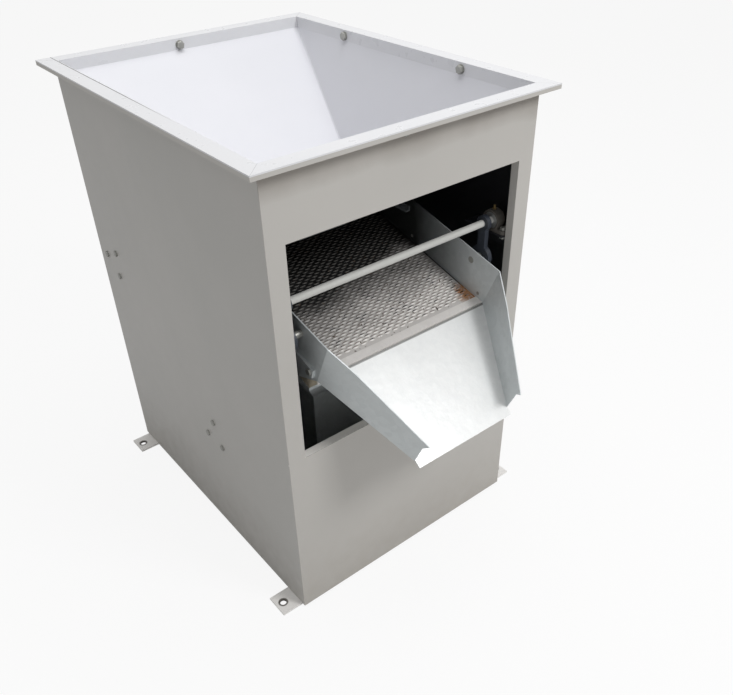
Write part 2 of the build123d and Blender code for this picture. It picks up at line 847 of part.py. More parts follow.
def fan_side(side):
    """End plate of the fan, with its round inlet and two legs that stand on the cross rails."""
    x0, x1 = span(side, fan_half_width - fan_sheet, fan_half_width)
    plate = plate_x(scroll_face(0), x0, x1)
    for y in fan_leg_ys():
        y0, y1 = y - cross_rail_width / 2, y + cross_rail_width / 2
        plate += block(x0, x1, y0, y1, cross_rail_top, fan_height)
    return plate - rod_x(fan_inlet_diameter / 2, x0, x1, fan_y, fan_height)


def fan_blade():
    """One flat blade across the rotor, set at its lead angle to the spoke through it."""
    outer = fan_rotor_radius
    middle = outer - fan_blade_depth / 2
    half = fan_rotor_half_width
    flat = Rot(0, 0, fan_blade_lead_angle) * Rectangle(fan_blade_depth, fan_blade_thickness)
    return plate_x(Pos(middle, 0) * flat, -half, half)


def fan_rotor():
    """Double-inlet wheel: a middle disc and hub, flat blades and two end rings."""
    ring_width = fan_disc_thickness
    half = fan_rotor_half_width
    outer = fan_rotor_radius
    rotor = rod_x(outer, -ring_width / 2, ring_width / 2, 0, 0)
    for x0 in (-half, half - ring_width):
        ring = rod_x(outer, x0, x0 + ring_width, 0, 0)
        rotor += ring - rod_x(outer - fan_blade_depth, x0, x0 + ring_width, 0, 0)
    blade = fan_blade()
    rotor += [Rot(360 * number / fan_blade_count, 0, 0) * blade for number in range(fan_blade_count)]
    rotor += rod_x(fan_hub_diameter / 2, -fan_hub_length / 2, fan_hub_length / 2, 0, 0)
    rotor -= rod_x(fan_shaft_diameter / 2, -half, half, 0, 0)
    return Pos(0, fan_y, fan_height) * rotor


def wall_shaft(diameter, y, z):
    """A shaft that runs from one wall bearing to the other."""
    end = inner_wall - wall_shaft_end_gap
    return rod_x(diameter / 2, -end, end, y, z)


# Bearings
def flange_bearing(side, shaft, y, z, first_angle):
    """Pressed three-bolt bearing inside a side wall, with its cup and insert."""
    places = triangle_places(y, z, first_angle)
    lobes = [Pos(*place) * Circle(bearing_lobe_diameter / 2) for place in places]
    outline = make_hull([edge for lobe in lobes for edge in lobe.edges()])
    x0, x1 = span(side, bearing_face, inner_wall)
    flange = plate_x(outline, x0, x1)
    c0, c1 = span(side, inner_wall - bearing_cup_depth, inner_wall)
    bearing = flange + rod_x(bearing_cup_diameter / 2, c0, c1, y, z)
    bearing -= rod_x(shaft / 2 + shaft_clearance, c0, c1, y, z)
    for place in places:
        bearing -= rod_x(wall_hole_radius, x0, x1, *place)
    return bearing


def wall_bolt(side, y, z):
    """Bolt through a wall and a bearing flange, with its nut inside."""
    h0, h1 = span(side, wall, wall + wall_bolt_head_height)
    s0, s1 = span(side, bearing_face, wall)
    n0, n1 = span(side, bearing_face - wall_nut_height, bearing_face)
    bolt = hex_bar(wall_bolt_head, h0, h1, y, z) + rod_x(wall_bolt_diameter / 2, s0, s1, y, z)
    return bolt + hex_bar(wall_nut_across_flats, n0, n1, y, z)


def wall_bearing_bolts():
    """The twelve bolts of the four wall bearings."""
    return Compound(children=[wall_bolt(side, y, z) for side in (-1, 1) for y, z in wall_bolt_places])


rail_top = rocker_height - block_centre_height


def bearing_rail(side):
    """Angle bracket welded to a side wall, which the pillow block stands on."""
    x0, x1 = span(side, inner_wall - rail_bracket_leg, inner_wall)
    y0 = front + opening_return + rail_bracket_gap
    y1 = y0 + rail_bracket_length
    bracket = block(x0, x1, y0, y1, rail_top - rail_bracket_sheet, rail_top)
    w0, w1 = span(side, inner_wall - rail_bracket_sheet, inner_wall)
    bracket += block(w0, w1, y0, y1, rail_top - rail_bracket_leg, rail_top)
    for end in (-1, 1):
        hole = Cylinder(block_hole_radius, 3 * rail_bracket_sheet)
        bracket -= Pos(side * block_plane, rocker_y + end * block_bolt_spacing / 2, rail_top) * hole
    return bracket


def pillow_block(side):
    """Cast pillow block: a foot with two bolt holes and a round housing on it."""
    x0, x1 = span(side, block_plane - block_thickness / 2, block_plane + block_thickness / 2)
    half = block_length / 2
    base = block(x0, x1, rocker_y - half, rocker_y + half, rail_top, rail_top + block_foot_height)
    base = fillet(base.edges().filter_by(Axis.Z), block_corner_radius)
    housing = base + rod_x(block_ring_diameter / 2, x0, x1, rocker_y, rocker_height)
    waist = block_waist_length / 2
    housing += block(x0, x1, rocker_y - waist, rocker_y + waist, rail_top, rail_top + block_waist_height)
    housing -= rod_x(insert_diameter / 2, x0, x1, rocker_y, rocker_height)
    for end in (-1, 1):
        hole = Cylinder(block_hole_radius, 3 * block_foot_height)
        housing -= Pos(side * block_plane, rocker_y + end * block_bolt_spacing / 2, rail_top) * hole
    return housing


def rocker_bearing_inserts():
    """Ball bearing inserts of the two pillow blocks."""
    inserts = []
    for side in (-1, 1):
        x0, x1 = span(side, block_plane - insert_width / 2, block_plane + insert_width / 2)
        ring = rod_x(insert_diameter / 2, x0, x1, rocker_y, rocker_height)
        bore = rod_x(rocker_shaft_diameter / 2 + shaft_clearance, x0, x1, rocker_y, rocker_height)
        inserts.append(ring - bore)
    return Compound(children=inserts)


def pillow_block_bolts():
    """Bolts, heads up, that hold the pillow blocks to their brackets."""
    foot_top = rail_top + block_foot_height
    low = rail_top - rail_bracket_sheet
    bolt = hex_bar(wall_bolt_head, foot_top, foot_top + wall_nut_height, 0, 0)
    bolt += rod_x(block_bolt_diameter / 2, low, foot_top, 0, 0)
    bolt += hex_bar(wall_nut_across_flats, low - wall_nut_height, low, 0, 0)
    bolt = Rot(0, -90, 0) * bolt
    places = [(side * block_plane, rocker_y + end * block_bolt_spacing / 2)
              for side in (-1, 1) for end in (-1, 1)]
    return Compound(children=[Pos(x, y, 0) * bolt for x, y in places])


# Rocker shaft and hanger arms
def rocker_shaft():
    """Ground bar across the front of the cabinet, turning in the two pillow blocks."""
    end = inner_wall - rocker_shaft_end_gap
    return rod_x(rocker_shaft_diameter / 2, -end, end, rocker_y, rocker_height)


def link_outline(y0, z0, eye0, y1, z1, eye1, bar):
    """Two round eyes joined by a straight bar, drawn as (y, z)."""
    angle = degrees(atan2(z1 - z0, y1 - y0))
    length = hypot(y1 - y0, z1 - z0)
    web = Pos((y0 + y1) / 2, (z0 + z1) / 2) * Rot(0, 0, angle) * Rectangle(length, bar)
    return web + Pos(y0, z0) * Circle(eye0 / 2) + Pos(y1, z1) * Circle(eye1 / 2)


def hanger_arm(side):
    """Arm keyed on the rocker shaft, with the deck's front pin in its lower eye."""
    x0, x1 = span(side, hanger_plane - hanger_thickness / 2, hanger_plane + hanger_thickness / 2)
    outline = link_outline(rocker_y, rocker_height, hanger_top_eye, hanger_pivot_y, hanger_pivot_height,
                           hanger_bottom_eye, hanger_bar_width)
    arm = plate_x(outline, x0, x1)
    arm -= rod_x(rocker_shaft_diameter / 2, x0, x1, rocker_y, rocker_height)
    return arm - rod_x(pin_diameter / 2 + pin_clearance, x0, x1, hanger_pivot_y, hanger_pivot_height)


def deck_pin(side, near, far, y, z):
    """Shoulder pin from a deck side out through an eye, with a head outside it."""
    x0, x1 = span(side, near, far)
    h0, h1 = span(side, far, far + pin_head_height)
    return rod_x(pin_diameter / 2, x0, x1, y, z) + rod_x(pin_head_diameter / 2, h0, h1, y, z)


def deck_pins():
    """The four pins that hang the deck from the arms and join it to the connecting rods."""
    hanger_far = hanger_plane + hanger_thickness / 2 + rod_side_gap
    rod_far = rod_plane + rod_thickness / 2 + rod_side_gap
    pins = []
    for side in (-1, 1):
        pins.append(deck_pin(side, deck_half_width, hanger_far, hanger_pivot_y, hanger_pivot_height))
        pins.append(deck_pin(side, deck_half_width, rod_far, rod_pin_y, rod_pin_height))
    return Compound(children=pins)


# Eccentric drive
def eccentric_hubs():
    """Two discs bored off centre, fixed on the eccentric shaft."""
    hubs = []
    half = eccentric_hub_width / 2
    for side in (-1, 1):
        x0, x1 = span(side, rod_plane - half, rod_plane + half)
        hub = rod_x(eccentric_hub_diameter / 2, x0, x1, eccentric_y, eccentric_height + eccentric_throw)
        hubs.append(hub - rod_x(eccentric_shaft_diameter / 2, x0, x1, eccentric_y, eccentric_height))
    return Compound(children=hubs)


def connecting_rod(side):
    """Rod with a big end round the eccentric and a bushed eye at the deck's pin."""
    x0, x1 = span(side, rod_plane - rod_thickness / 2, rod_plane + rod_thickness / 2)
    low = eccentric_height + eccentric_throw
    outline = link_outline(eccentric_y, low, rod_big_end, rod_pin_y, rod_pin_height, rod_small_end,
                           rod_bar_width)
    rod = plate_x(outline, x0, x1)
    rod -= rod_x(eccentric_hub_diameter / 2 + shaft_clearance, x0, x1, eccentric_y, low)
    return rod - rod_x(bush_diameter / 2, x0, x1, rod_pin_y, rod_pin_height)


def rod_bush(side):
    """Rubber bush between a rod's upper eye and the deck's pin."""
    x0, x1 = span(side, rod_plane - rod_thickness / 2, rod_plane + rod_thickness / 2)
    ring = rod_x(bush_diameter / 2, x0, x1, rod_pin_y, rod_pin_height)
    return ring - rod_x(pin_diameter / 2, x0, x1, rod_pin_y, rod_pin_height)


# Pulleys and belts
def grooved_profile(radius, plane):
    """Half section of a pulley with one V groove, as (x, radius)."""
    deep = radius - belt_depth - belt_gap
    half = groove_top_width / 2
    half_low = half - (radius - deep) * groove_flank
    near, far = plane - half - pulley_rim, plane + half + pulley_rim
    return [(near, 0), (near, radius), (plane - half, radius), (plane - half_low, deep),
            (plane + half_low, deep), (plane + half, radius), (far, radius), (far, 0)]


def pulley(radius, plane, bore, y, z):
    """A turned pulley with one groove, bored for its shaft."""
    profile = grooved_profile(radius, plane)
    solid = revolve(make_face(Polyline(*profile, close=True)), Axis.X)
    near, far = profile[0][0], profile[-1][0]
    return Pos(0, y, z) * (solid - rod_x(bore / 2, near, far, 0, 0))


def motor_pulley():
    """Two-step pulley: the fan's groove next to the motor, the eccentric's outside it."""
    steps = pulley(motor_fan_pulley_radius, fan_belt_plane, motor_shaft_diameter, motor_y, motor_height)
    return steps + pulley(motor_eccentric_pulley_radius, eccentric_belt_plane, motor_shaft_diameter,
                          motor_y, motor_height)


def belt(plane, y0, z0, radius0, y1, z1, radius1):
    """V-belt round two pulleys: its section swept round the line of its outer face."""
    lean = atan2(z1 - z0, y1 - y0)
    swing = acos((radius0 - radius1) / hypot(y1 - y0, z1 - z0))

    def rim(y, z, radius, angle):
        return plane, y + radius * cos(angle), z + radius * sin(angle)

    near, far = rim(y0, z0, radius0, lean + swing), rim(y1, z1, radius1, lean + swing)
    far_back, near_back = rim(y1, z1, radius1, lean - swing), rim(y0, z0, radius0, lean - swing)
    path = Wire([Line(near, far), ThreePointArc(far, rim(y1, z1, radius1, lean), far_back),
                 Line(far_back, near_back), ThreePointArc(near_back, rim(y0, z0, radius0, lean + pi), near)])
    half = belt_width / 2
    half_low = half - belt_depth * groove_flank
    section = make_face(Polyline((-half, 0), (half, 0), (half_low, -belt_depth), (-half_low, -belt_depth),
                                 close=True))
    across = rim(0, 0, 1, lean + swing)
    start = Plane(near, x_dir=(1, 0, 0), z_dir=(0, across[2], -across[1]))
    return sweep(start * section, path)


def eccentric_belt():
    """Belt from the motor up to the eccentric shaft."""
    return belt(eccentric_belt_plane, motor_y, motor_height, motor_eccentric_pulley_radius,
                eccentric_y, eccentric_height, eccentric_pulley_radius)


def fan_belt():
    """Belt from the motor to the fan shaft."""
    return belt(fan_belt_plane, motor_y, motor_height, motor_fan_pulley_radius, fan_y, fan_height,
                fan_pulley_radius)


# Motor
def motor_body():
    """Finned motor frame with its end boss, fan cowl and feet."""
    start = motor_body_start
    end = start + motor_body_length
    radius = motor_diameter / 2
    body = rod_x(radius, start, end, 0, 0)
    fin = block(start + motor_cowl_length, end - motor_fin_end_gap, -motor_fin_width / 2, motor_fin_width / 2,
                radius - motor_fin_root, radius + motor_fin_height)
    body += [Rot(360 * number / motor_fin_count, 0, 0) * fin for number in range(motor_fin_count)]
    body += rod_x(radius + motor_fin_height, start, start + motor_cowl_length, 0, 0)
    body += rod_x(motor_boss_diameter / 2, end, end + motor_boss_length, 0, 0)
    foot_z = motor_plate_top - motor_height
    x0 = start + motor_cowl_length + motor_foot_behind_cowl
    x1 = x0 + motor_foot_length
    half = motor_foot_width / 2
    body += block(x0, x1, -half, half, foot_z, foot_z + motor_foot_thickness)
    body += block(x0, x1, -motor_pedestal_width / 2, motor_pedestal_width / 2, foot_z, 0)
    bore = motor_shaft_diameter / 2 + shaft_clearance
    body -= rod_x(bore, end - motor_boss_length, end + motor_boss_length, 0, 0)
    return Pos(0, motor_y, motor_height) * body


def motor_shaft():
    """Motor shaft from inside the frame out to the far face of the pulley."""
    end = motor_body_start + motor_body_length
    far = eccentric_belt_plane + groove_top_width / 2 + pulley_rim
    return rod_x(motor_shaft_diameter / 2, end - motor_boss_length, far, motor_y, motor_height)


def motor_plate():
    """Flat plate across the base frame, which the motor is bolted to."""
    end = inner_wall - base_angle_thickness - cross_rail_end_gap
    half = motor_plate_length / 2
    return block(-end, end, motor_y - half, motor_y + half, base_top, motor_plate_top)


def motor_terminal_box():
    """Box on top of the motor, with the gland that the supply cable enters by."""
    half = terminal_box_size / 2
    middle = motor_body_start + motor_body_length / 2
    low = motor_height + motor_diameter / 2 + motor_fin_height
    high = low + terminal_box_height
    box_solid = block(middle - half, middle + half, motor_y - half, motor_y + half, low, high)
    box_solid = fillet(box_solid.edges().filter_by(Axis.Z), terminal_box_corner_radius)
    gland = Pos(middle, motor_y + half + gland_length / 2, low + terminal_box_height / 2) * Rot(90, 0, 0)
    return box_solid + gland * Cylinder(gland_diameter / 2, gland_length)


left_side_panel, right_side_panel = mirrored_pair(side_panel)
deck_side_left, deck_side_right = mirrored_pair(deck_side)
deck_rail_left, deck_rail_right = mirrored_pair(deck_rail)
rocker_bearing_left, rocker_bearing_right = mirrored_pair(pillow_block)
hanger_arm_left, hanger_arm_right = mirrored_pair(hanger_arm)
connecting_rod_left, connecting_rod_right = mirrored_pair(connecting_rod)
rod_bush_left, rod_bush_right = mirrored_pair(rod_bush)

pieces = {
    "left_side_panel": left_side_panel,
    "right_side_panel": right_side_panel,
    "front_panel": front_panel(),
    "rear_panel": rear_panel(),
    "base_frame": base_frame(),
    "mounting_feet": mounting_feet(),
    "top_flange": top_flange(),
    "hopper_sheets": hopper_sheets(),
    "hopper_frame": hopper_frame(),
    "hopper_collar_bolts": collar_bolts(),
    "gate_guides": gate_guides(),
    "feed_gate": feed_gate(),
    "deck_side_left": deck_side_left,
    "deck_side_right": deck_side_right,
    "fish_scale_screen": fish_scale_screen(),
    "screen_support_bars": screen_support_bars(),
    "deck_lip": deck_lip(),
    "spout_floor": spout_floor(),
    "deck_rail_left": deck_rail_left,
    "deck_rail_right": deck_rail_right,
    "deck_rail_bolts": rail_bolts(),
    "deck_rear_wall": deck_rear_wall(),
    "stone_spout": stone_spout(),
    "deck_air_box": air_box(),
    "air_sleeve": air_sleeve(),
    "air_plenum": air_plenum(),
    "fan_scroll": fan_scroll(),
    "fan_side_left": fan_side(-1),
    "fan_side_right": fan_side(1),
    "fan_rotor": fan_rotor(),
    "fan_shaft": wall_shaft(fan_shaft_diameter, fan_y, fan_height),
    "fan_bearing_left": flange_bearing(-1, fan_shaft_diameter, fan_y, fan_height, fan_bolt_angle),
    "fan_bearing_right": flange_bearing(1, fan_shaft_diameter, fan_y, fan_height, fan_bolt_angle),
    "fan_pulley": pulley(fan_pulley_radius, fan_belt_plane, fan_shaft_diameter, fan_y, fan_height),
    "fan_belt": fan_belt(),
    "eccentric_shaft": wall_shaft(eccentric_shaft_diameter, eccentric_y, eccentric_height),
    "eccentric_hubs": eccentric_hubs(),
    "eccentric_bearing_left": flange_bearing(-1, eccentric_shaft_diameter, eccentric_y, eccentric_height,
                                             eccentric_bolt_angle),
    "eccentric_bearing_right": flange_bearing(1, eccentric_shaft_diameter, eccentric_y, eccentric_height,
                                              eccentric_bolt_angle),
    "eccentric_pulley": pulley(eccentric_pulley_radius, eccentric_belt_plane, eccentric_shaft_diameter,
                               eccentric_y, eccentric_height),
    "eccentric_belt": eccentric_belt(),
    "connecting_rod_left": connecting_rod_left,
    "connecting_rod_right": connecting_rod_right,
    "rod_bush_left": rod_bush_left,
    "rod_bush_right": rod_bush_right,
    "deck_pins": deck_pins(),
    "bearing_brackets": Compound(children=[bearing_rail(-1), bearing_rail(1)]),
    "rocker_bearing_left": rocker_bearing_left,
    "rocker_bearing_right": rocker_bearing_right,
    "rocker_bearing_inserts": rocker_bearing_inserts(),
    "rocker_bearing_bolts": pillow_block_bolts(),
    "rocker_shaft": rocker_shaft(),
    "hanger_arms": Compound(children=[hanger_arm_left, hanger_arm_right]),
    "wall_bearing_bolts": wall_bearing_bolts(),
    "motor_body": motor_body(),
    "motor_shaft": motor_shaft(),
    "motor_pulley": motor_pulley(),
    "motor_plate": motor_plate(),
    "motor_terminal_box": motor_terminal_box(),
}

os.makedirs("parts", exist_ok=True)
for name, shape in pieces.items():
    export_step(shape, f"parts/{name}.step")
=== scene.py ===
from math import cos, pi, radians, sin

import bmesh
import bpy
from mathutils import Matrix, Vector


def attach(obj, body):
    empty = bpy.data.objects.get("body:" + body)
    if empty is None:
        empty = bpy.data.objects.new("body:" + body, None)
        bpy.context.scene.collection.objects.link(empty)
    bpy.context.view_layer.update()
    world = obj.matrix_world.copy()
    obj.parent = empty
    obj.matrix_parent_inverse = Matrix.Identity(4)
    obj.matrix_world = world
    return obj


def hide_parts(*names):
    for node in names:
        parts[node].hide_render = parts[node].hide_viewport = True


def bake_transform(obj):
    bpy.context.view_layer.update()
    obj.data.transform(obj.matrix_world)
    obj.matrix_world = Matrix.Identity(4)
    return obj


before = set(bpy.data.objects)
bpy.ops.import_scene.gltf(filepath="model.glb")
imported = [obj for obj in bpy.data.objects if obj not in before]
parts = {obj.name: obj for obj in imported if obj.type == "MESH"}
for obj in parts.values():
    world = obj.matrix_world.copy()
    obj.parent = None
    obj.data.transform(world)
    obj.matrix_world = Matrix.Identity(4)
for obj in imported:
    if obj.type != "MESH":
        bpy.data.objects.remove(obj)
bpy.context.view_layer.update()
scene = bpy.context.scene
scene.view_settings.view_transform = "Standard"

# The view: from above the front left corner, looking down into the hopper and on to the deck.
# The camera is rolled a little and its frame is shifted, as in a picture that was cropped.
view_azimuth, view_elevation, view_roll = radians(-38.2626), radians(36.9563), radians(-1.2879)
backward = Vector((sin(view_azimuth) * cos(view_elevation),
                   -cos(view_azimuth) * cos(view_elevation), sin(view_elevation)))
level = (-backward).cross(Vector((0, 0, 1))).normalized()
upright = level.cross(-backward)
right = cos(view_roll) * level + sin(view_roll) * upright
up = cos(view_roll) * upright - sin(view_roll) * level
camera = bpy.data.objects.new("camera", bpy.data.cameras.new("camera"))
scene.collection.objects.link(camera)
camera.matrix_world = Matrix.Translation((-0.6914, -1.0927, 1.1607)) @ Matrix(
    (right, up, backward)).transposed().to_4x4()
camera.data.sensor_width = 36
camera.data.lens = 37.862
camera.data.shift_x, camera.data.shift_y = -0.00865, 0.05285
camera.data.clip_end = 60
scene.camera = camera


# Studio floor: a wide matt white board that the machine stands on.
# It is pale enough to vanish in the white of the view, and keeps the machine's soft shadow.
def add(tree, kind, inputs=(), **settings):
    """One shader node, with its settings, and with a value or a link for each input named."""
    node = tree.nodes.new(kind)
    for name, value in settings.items():
        setattr(node, name, value)
    for socket, value in dict(inputs).items():
        if isinstance(value, bpy.types.NodeSocket):
            tree.links.new(value, node.inputs[socket])
        else:
            node.inputs[socket].default_value = value
    return node


def linear(colour):
    """An sRGB hex colour as the linear values that the shader takes."""
    parts_of_one = [int(colour[place:place + 2], 16) / 255 for place in (1, 3, 5)]
    return (*[c / 12.92 if c <= 0.04045 else ((c + 0.055) / 1.055) ** 2.4 for c in parts_of_one], 1)


def blank_material(name):
    """An empty node material and its output node."""
    material = bpy.data.materials.new(name)
    material.use_nodes = True
    material.node_tree.nodes.clear()
    return material, material.node_tree


def mesh_piece(name, points, faces, material, body=None, smooth=False):
    """One piece from its points and faces, in metres, riding on its body."""
    mesh = bpy.data.meshes.new(name)
    mesh.from_pydata([tuple(point) for point in points], [], faces)
    mesh.validate()
    mesh.materials.append(material)
    for polygon in mesh.polygons:
        polygon.use_smooth = smooth
    piece = bpy.data.objects.new(name, mesh)
    scene.collection.objects.link(piece)
    if body:
        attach(piece, body)
    return piece


white_board, tree = blank_material("matt_white_board")
seen = add(tree, "ShaderNodeLightPath")
grain = add(tree, "ShaderNodeTexNoise", {"Scale": 40, "Detail": 4})
tone = add(tree, "ShaderNodeMix", {"Factor": grain.outputs[0], "A": linear("#EDEDEC"), "B": linear("#F4F4F4")},
           data_type="RGBA")
board = add(tree, "ShaderNodeBsdfDiffuse", {"Color": tone.outputs["Result"]})
glow = add(tree, "ShaderNodeEmission", {"Color": (1, 1, 1, 1), "Strength": 1})
share = add(tree, "ShaderNodeMath", {0: seen.outputs["Is Camera Ray"], 1: 0.88}, operation="MULTIPLY")
cover = add(tree, "ShaderNodeMixShader", {0: share.outputs[0], 1: board.outputs[0], 2: glow.outputs[0]})
add(tree, "ShaderNodeOutputMaterial", {"Surface": cover.outputs[0]})
far = 14
floor = mesh_piece("studio_floor", [(-far, -far, 0), (far, -far, 0), (far, far, 0), (-far, far, 0)],
                   [(0, 1, 2, 3)], white_board)

# Studio light: a large soft box overhead, a smaller one high in front to the right, and a fill.
# The front of the machine is lit more than its left side, the top most of all, and the high lamp
# throws the flange's shadow on the front and lights the sill and the low end of the deck.
world = bpy.data.worlds.new("studio")
scene.world = world
world.use_nodes = True
tree = world.node_tree
tree.nodes.clear()
seen = add(tree, "ShaderNodeLightPath")
shown = add(tree, "ShaderNodeMath", {0: seen.outputs["Is Camera Ray"], 1: seen.outputs["Is Glossy Ray"]},
            operation="MAXIMUM")
shown = add(tree, "ShaderNodeMath", {0: shown.outputs[0], 1: seen.outputs["Is Transmission Ray"]},
            operation="MAXIMUM")
fill = add(tree, "ShaderNodeBackground", {"Color": (1, 1, 1, 1), "Strength": 0.44})
white = add(tree, "ShaderNodeBackground", {"Color": (1, 1, 1, 1), "Strength": 1})
sky = add(tree, "ShaderNodeMixShader", {0: shown.outputs[0], 1: fill.outputs[0], 2: white.outputs[0]})
add(tree, "ShaderNodeOutputWorld", {"Surface": sky.outputs[0]})


def soft_box(name, place, aim, width, watts):
    """A square area light that points from its place at an aim."""
    lamp = bpy.data.lights.new(name, "AREA")
    lamp.shape = "SQUARE"
    lamp.size = width
    lamp.energy = watts
    box = bpy.data.objects.new(name, lamp)
    scene.collection.objects.link(box)
    box.location = place
    box.rotation_euler = (Vector(aim) - Vector(place)).to_track_quat("-Z", "Y").to_euler()


soft_box("overhead_soft_box", (0.3, 0.1, 2.9), (0, 0, 0.7), 1.8, 22)
soft_box("front_soft_box", (0.75, -2.1, 2.35), (0, -0.2, 0.5), 0.7, 29)

# Cabinet: folded 2 mm mild steel sheet, seam welded and sprayed with grey stove enamel.
# The enamel is semi-gloss with a fine orange peel, uneven in tone over a hand's breadth, and a
# little grimy towards the floor.
millimetre = 0.001


def spread(tree, place, size, detail=3):
    """Noise whose patches are about the given size in metres."""
    return add(tree, "ShaderNodeTexNoise", {"Vector": place, "Scale": 1 / size, "Detail": detail})


def stove_enamel(name, base, shade, roughness, grime):
    """Sprayed enamel: two close tones, orange peel of 3 mm and some grime near the floor."""
    material, tree = blank_material(name)
    place = add(tree, "ShaderNodeTexCoord").outputs["Object"]
    patches = spread(tree, place, 180 * millimetre, 4)
    tone = add(tree, "ShaderNodeMix", {"Factor": patches.outputs[0], "A": linear(base), "B": linear(shade)},
               data_type="RGBA")
    height = add(tree, "ShaderNodeSeparateXYZ", {0: place})
    low = add(tree, "ShaderNodeMapRange", {"Value": height.outputs[2], "From Min": 0.16, "From Max": 0.0,
                                           "To Min": 0, "To Max": 0.5})
    smear = spread(tree, place, 25 * millimetre, 8)
    dirt = add(tree, "ShaderNodeMath", {0: low.outputs[0], 1: smear.outputs[0]}, operation="MULTIPLY")
    tone = add(tree, "ShaderNodeMix", {"Factor": dirt.outputs[0], "A": tone.outputs["Result"],
                                       "B": linear(grime)}, data_type="RGBA")
    peel = spread(tree, place, 3 * millimetre, 2)
    waves = spread(tree, place, 160 * millimetre, 1)
    ripple = add(tree, "ShaderNodeBump", {"Height": waves.outputs[0], "Strength": 0.5, "Distance": 0.004})
    bump = add(tree, "ShaderNodeBump", {"Height": peel.outputs[0], "Strength": 0.12, "Distance": 0.0004,
                                        "Normal": ripple.outputs[0]})
    gloss = add(tree, "ShaderNodeMapRange", {"Value": smear.outputs[0], "To Min": roughness - 0.05,
                                             "To Max": roughness + 0.07})
    coat = add(tree, "ShaderNodeBsdfPrincipled", {"Base Color": tone.outputs["Result"],
                                                  "Roughness": gloss.outputs[0], "Normal": bump.outputs[0],
                                                  "IOR": 1.5})
    add(tree, "ShaderNodeOutputMaterial", {"Surface": coat.outputs[0]})
    return material


def coat(material, *names):
    """Finishes the named parts with a material."""
    for name in names:
        parts[name].material_slots[0].material = material


# Front wall and flange: the same enamel. The sill's top face is painted near white, a painted highlight, and a band
# under the flange is painted darker, a painted shadow of the flange.
grey_enamel = stove_enamel("grey_stove_enamel", "#C3C0BB", "#B9B6B1", 0.34, "#A29A8E")
tree = grey_enamel.node_tree
shader = next(node for node in tree.nodes if node.type == "BSDF_PRINCIPLED")
place = add(tree, "ShaderNodeTexCoord").outputs["Object"]
apart = add(tree, "ShaderNodeSeparateXYZ", {0: place})
# Painted shadow: a ragged band under the flange is darkened towards a warm grey, for the flange's shadow on the
# front.
ragged = spread(tree, place, 90 * millimetre, 4)
ragged = add(tree, "ShaderNodeMath", {0: ragged.outputs[0], 1: 0.03}, operation="MULTIPLY")
band = add(tree, "ShaderNodeMath", {0: apart.outputs[2], 1: ragged.outputs[0]}, operation="ADD")
band = add(tree, "ShaderNodeMapRange", {"Value": band.outputs[0], "From Min": 0.790, "From Max": 0.834,
                                        "To Max": 0.8})
below_flange = add(tree, "ShaderNodeMath", {0: apart.outputs[2], 1: 0.8175}, operation="LESS_THAN")
band = add(tree, "ShaderNodeMath", {0: band.outputs[0], 1: below_flange.outputs[0]}, operation="MULTIPLY")
dust_and_painted_light = add(tree, "ShaderNodeMix", {"Factor": band.outputs[0],
                                    "A": shader.inputs["Base Color"].links[0].from_socket,
                                    "B": linear("#7C7268")}, data_type="RGBA")
# Painted highlight: the sill's top face is made near white, for the light that falls on it.
sill = add(tree, "ShaderNodeMath", {0: apart.outputs[2], 1: 0.3468, 2: 0.0012}, operation="COMPARE")
behind = add(tree, "ShaderNodeMath", {0: apart.outputs[1], 1: -0.3194}, operation="GREATER_THAN")
sill = add(tree, "ShaderNodeMath", {0: sill.outputs[0], 1: behind.outputs[0]}, operation="MULTIPLY")
sill_painted_light = add(tree, "ShaderNodeMix", {"Factor": sill.outputs[0], "A": dust_and_painted_light.outputs["Result"],
                                     "B": linear("#F6F3EE")}, data_type="RGBA")
tree.links.new(sill_painted_light.outputs["Result"], shader.inputs["Base Color"])
coat(grey_enamel, "front_panel", "top_flange")

# Side and rear walls: enamelled outside only. Inside they are near black with a slight blue, painted shade for the
# dark inside of the cabinet.
# The change of colour is at the wall's edge, half a millimetre inside the outer face.
def inside_painted_shade(material, axis, start, end):
    """Paints the inner face of a wall near black, as painted shade: everything nearer to the middle than the start.
    """
    tree = material.node_tree
    shader = next(node for node in tree.nodes if node.type == "BSDF_PRINCIPLED")
    outside = shader.inputs["Base Color"].links[0].from_socket
    place = add(tree, "ShaderNodeTexCoord").outputs["Object"]
    apart = add(tree, "ShaderNodeSeparateXYZ", {0: place})
    reach = add(tree, "ShaderNodeMath", {0: apart.outputs[axis]}, operation="ABSOLUTE")
    face = add(tree, "ShaderNodeMapRange", {"Value": reach.outputs[0], "From Min": start, "From Max": end})
    dust = spread(tree, place, 70 * millimetre, 5)
    painted_shade_tone = add(tree, "ShaderNodeMix", {"Factor": dust.outputs[0], "A": linear("#0D0E10"),
                                         "B": linear("#1B1C1F")}, data_type="RGBA")
    both = add(tree, "ShaderNodeMix", {"Factor": face.outputs[0], "A": painted_shade_tone.outputs["Result"],
                                       "B": outside}, data_type="RGBA")
    tree.links.new(both.outputs["Result"], shader.inputs["Base Color"])
    return material


side_enamel = stove_enamel("side_wall_enamel", "#BDBAB6", "#B4B3AF", 0.34, "#7B7468")
coat(inside_painted_shade(side_enamel, 0, 0.2486, 0.2494), "left_side_panel", "right_side_panel")
rear_enamel = stove_enamel("rear_wall_enamel", "#BDBAB6", "#B4B3AF", 0.34, "#7B7468")
coat(inside_painted_shade(rear_enamel, 1, 0.3178, 0.3186), "rear_panel")
